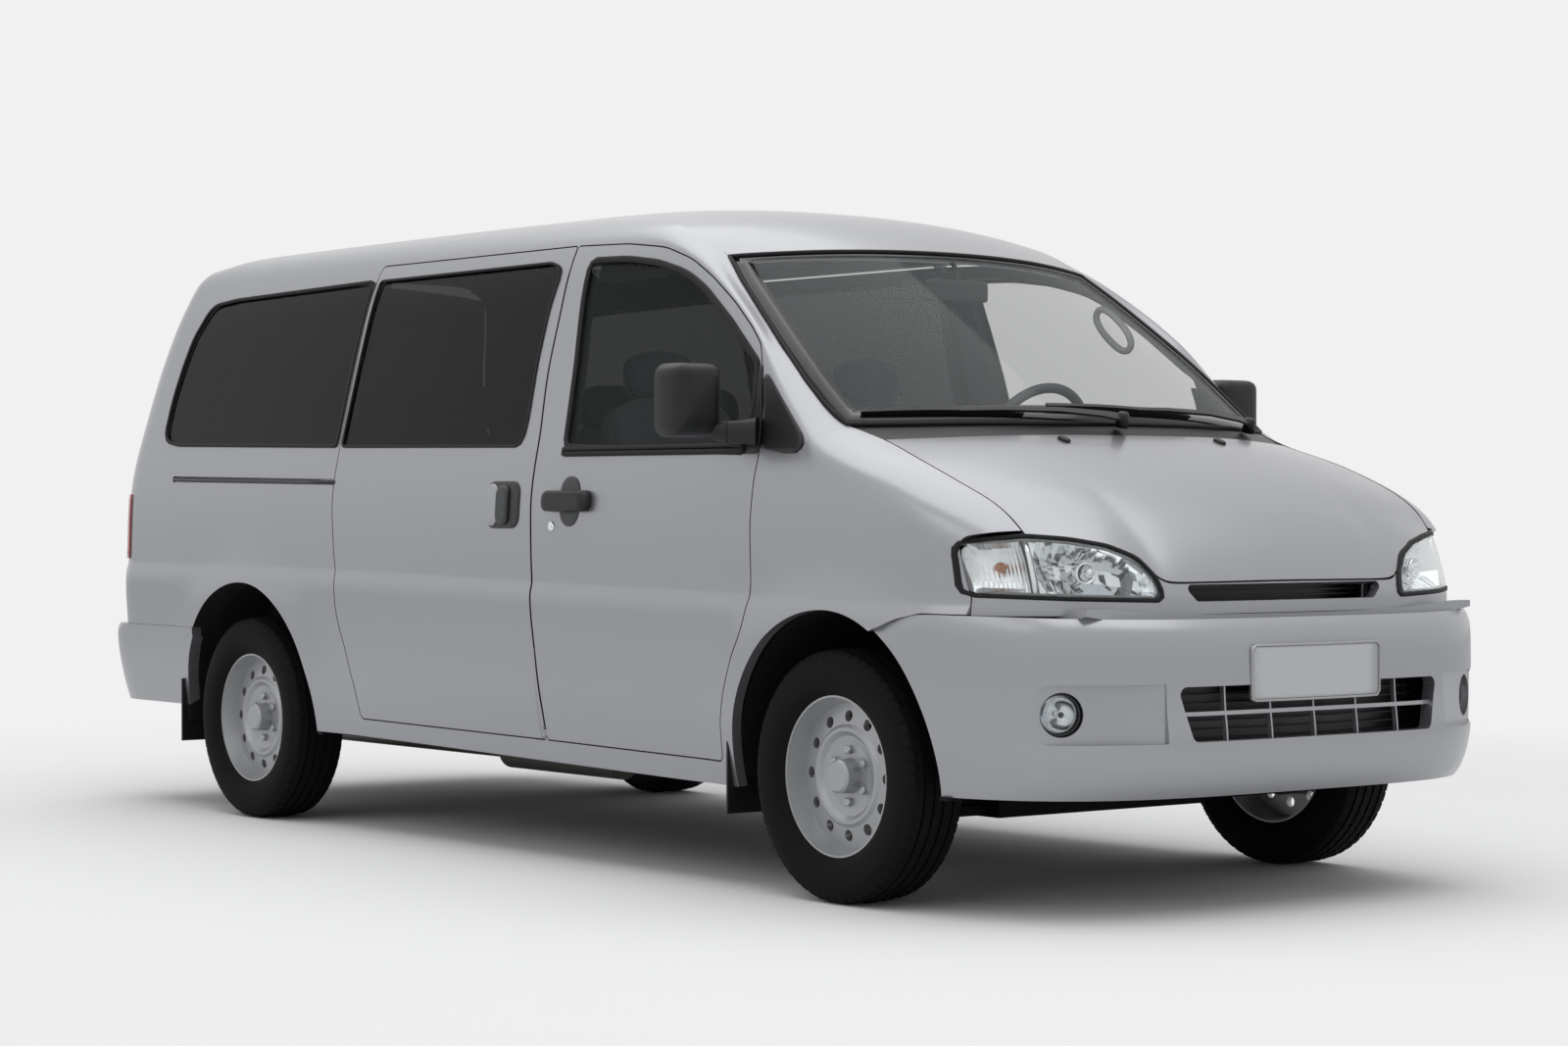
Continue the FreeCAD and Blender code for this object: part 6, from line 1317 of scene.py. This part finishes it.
# %% Points on the rear
REAR_NAMES = ("tailgate", "tailgate_glass", "bumper_rear", "tail_lamps", "side_right", "side_left")
FAR_BEHIND, REAR_X = -3.2, -2.40  # rays start here; X where a ray meets nothing
rear_tree, _ = tree_of(*REAR_NAMES)


def rear_skin(y, z, lift=0.0):
    """Point on the rear's skin, lifted off it backwards."""
    place, _, _, _ = rear_tree.ray_cast(Vector((FAR_BEHIND, y, z)), Vector((1, 0, 0)))
    x = place.x if place else REAR_X
    return Vector((x - lift, y, z))


print("rear skin behind the plate, X:", round(rear_skin(0.0, 0.955).x, 3))

# %% Rear lamps, seal and plate
LAMP_WRAP = [(-2299, 843, 3), (-2266, 843, 3), (-2266, 1067, 3), (-2299, 1067, 3)]
for side, name in SIDES:
    fill(f"tail_lamp_wrap_{name}", side, LAMP_WRAP, 3.0, lamp_red, "body", 10, 6, 0.003)
TAIL_GLASS = [(-560, 1225, 60), (560, 1225, 60), (430, 1700, 60), (-430, 1700, 60)]
ring_piece("tailgate_seal", TAIL_GLASS, (6.0, 4.0, -9.0, -11.0), (0.3, 2.0, 1.2, -3.5), rubber, "tailgate",
           rear_skin)
REAR_PLATE = [(-240, 900, 12), (240, 900, 12), (240, 1010, 12), (-240, 1010, 12)]
flat_rear = lambda u, v, lift: Vector((rear_skin(0.0, 0.955).x - 0.004 - lift, u, v))
fan_piece("rear_plate", REAR_PLATE, (0, 955), plate_silver, "tailgate", flat_rear, 1.0, 0.004, 4)

# %% Tailgate garnish, grip and wiper
WIPER_BOSS = [(0.0005, 0.0), (0.024, 0.0), (0.021, 0.020), (0.0005, 0.024)]
garnish_x, grip_x = rear_skin(0, 1.06).x, rear_skin(0, 1.04).x
plain_box("tailgate_garnish", garnish_x - 0.018, garnish_x + 0.006, -0.30, 0.30, 1.035, 1.085, paint, "tailgate")
plain_box("tailgate_grip", grip_x - 0.016, grip_x + 0.004, -0.075, 0.075, 1.022, 1.042, black_plastic, "tailgate")
lathe("rear_wiper_boss", rear_skin(0.0, 1.19, 0.004), Vector((-1, 0, 0)), WIPER_BOSS, black_plastic, "tailgate", 32)
arm = [rear_skin(0.0, 1.19, 0.022), rear_skin(0.10, 1.215, 0.020), rear_skin(0.25, 1.262, 0.016)]
tube("rear_wiper_arm", arm, 0.007, black_plastic, "tailgate")
blade = [rear_skin(0.06 + 0.40 * k / 8, 1.250 + 0.028 * k / 8, 0.010) for k in range(9)]
tube("rear_wiper_blade", blade, 0.007, rubber, "tailgate")

# %% [markdown]
# ## Stage, light and camera
# The car stands on pale paper that keeps its shadow. Further out the paper turns into a plain pale glow, but only
# for the camera, so that the horizon is lost and no extra light falls on the car. The world does the same: it
# is dim for the light that falls on the paint, and bright where the camera, a reflection or a lens sees it.

# %% Stage
FLOOR_HALF = 80                    # the paper reaches past the horizon that the camera sees
SHADOW_REACH, GLOW_START = 2.9, 6.6  # how far from the middle the paper is plain, and where it is all glow
WORLD_LIGHT = 0.66
floor_mesh = bpy.data.meshes.new("studio_floor")
floor_mesh.from_pydata([(FLOOR_HALF * x, FLOOR_HALF * y, 0) for x, y in ((-1, -1), (1, -1), (1, 1), (-1, 1))], [],
                       [(0, 1, 2, 3)])
studio_floor = bpy.data.objects.new("studio_floor", floor_mesh)
paper = bpy.data.materials.new("studio_floor_paper")
paper.use_nodes = True
tree = paper.node_tree
tree.nodes.clear()
matt = add_node(tree, "ShaderNodeBsdfDiffuse", {"Color": colour("F0F0F0")})
glow = add_node(tree, "ShaderNodeEmission", {"Color": colour("F1F1F1"), "Strength": 1.0})
spot = add_node(tree, "ShaderNodeTexCoord")
reach = add_node(tree, "ShaderNodeVectorMath", {0: spot.outputs["Object"]}, operation="LENGTH")
fade = add_node(tree, "ShaderNodeMapRange", {"Value": reach.outputs["Value"], "From Min": SHADOW_REACH,
                                             "From Max": GLOW_START}, interpolation_type="SMOOTHSTEP")
ray = add_node(tree, "ShaderNodeLightPath")
share = add_node(tree, "ShaderNodeMath", {0: fade.outputs["Result"], 1: ray.outputs["Is Camera Ray"]},
                 operation="MULTIPLY")
mixed = add_node(tree, "ShaderNodeMixShader", {0: share.outputs[0], 1: matt.outputs[0], 2: glow.outputs[0]})
add_node(tree, "ShaderNodeOutputMaterial", {"Surface": mixed.outputs[0]})
floor_mesh.materials.append(paper)
bpy.context.scene.collection.objects.link(studio_floor)

# %% World
world = bpy.data.worlds.new("studio")
bpy.context.scene.world = world
world.use_nodes = True
tree = world.node_tree
tree.nodes.clear()
dim = add_node(tree, "ShaderNodeBackground", {"Color": colour("F4F5F6"), "Strength": WORLD_LIGHT})
bright = add_node(tree, "ShaderNodeBackground", {"Color": colour("F1F1F1"), "Strength": 1.0})
ray = add_node(tree, "ShaderNodeLightPath")
seen = add_node(tree, "ShaderNodeMath", {0: ray.outputs["Is Camera Ray"], 1: ray.outputs["Is Glossy Ray"]},
                operation="MAXIMUM")
seen = add_node(tree, "ShaderNodeMath", {0: seen.outputs[0], 1: ray.outputs["Is Transmission Ray"]},
                operation="MAXIMUM")
mixed = add_node(tree, "ShaderNodeMixShader", {0: seen.outputs[0], 1: dim.outputs[0], 2: bright.outputs[0]})
add_node(tree, "ShaderNodeOutputWorld", {"Surface": mixed.outputs[0]})
print("world light", WORLD_LIGHT)

# %% [markdown]
# One very wide lamp overhead gives the long soft highlights on the hood and roof, as the ceiling of a photo
# studio does. A second one from the right lifts the side a little. Small hard lamps would put spots on the paint.

# %% Softboxes
def softbox(name, place, target, size_x, size_y, watts):
    """An area lamp that looks from its place towards a target."""
    data = bpy.data.lights.new(name, "AREA")
    data.shape, data.size, data.size_y, data.energy = "RECTANGLE", size_x, size_y, watts
    lamp = bpy.data.objects.new(name, data)
    lamp.location = place
    lamp.rotation_mode = "QUATERNION"
    lamp.rotation_quaternion = (Vector(target) - Vector(place)).to_track_quat("-Z", "Y")
    bpy.context.scene.collection.objects.link(lamp)
    return lamp


softbox("overhead_softbox", (0.3, 0.0, 7.5), (0.3, 0, 0), 15.0, 9.0, 420)
softbox("side_softbox", (1.5, -9.0, 6.0), (0.8, 0, 0.9), 12.0, 4.0, 75)

# %% [markdown]
# The camera has the photograph's view: from the front right, a little lower than the windows, through a long lens
# that hardly narrows the car towards its rear.

# %% Camera
camera = bpy.data.objects.new("camera", bpy.data.cameras.new("camera"))
camera.data.sensor_width = 36.0
camera.data.lens = 77.89
camera.location = (8.471, -6.332, 1.032)
camera.rotation_mode = "QUATERNION"
camera.rotation_quaternion = Vector((-0.79055, 0.61237, -0.00557)).to_track_quat("-Z", "Y")
camera.data.clip_start, camera.data.clip_end = 0.1, 300.0
bpy.context.scene.collection.objects.link(camera)
bpy.context.scene.camera = camera
bpy.context.scene.view_settings.view_transform = "Standard"
print("camera at", [round(c, 2) for c in camera.location], "lens", round(camera.data.lens, 1))
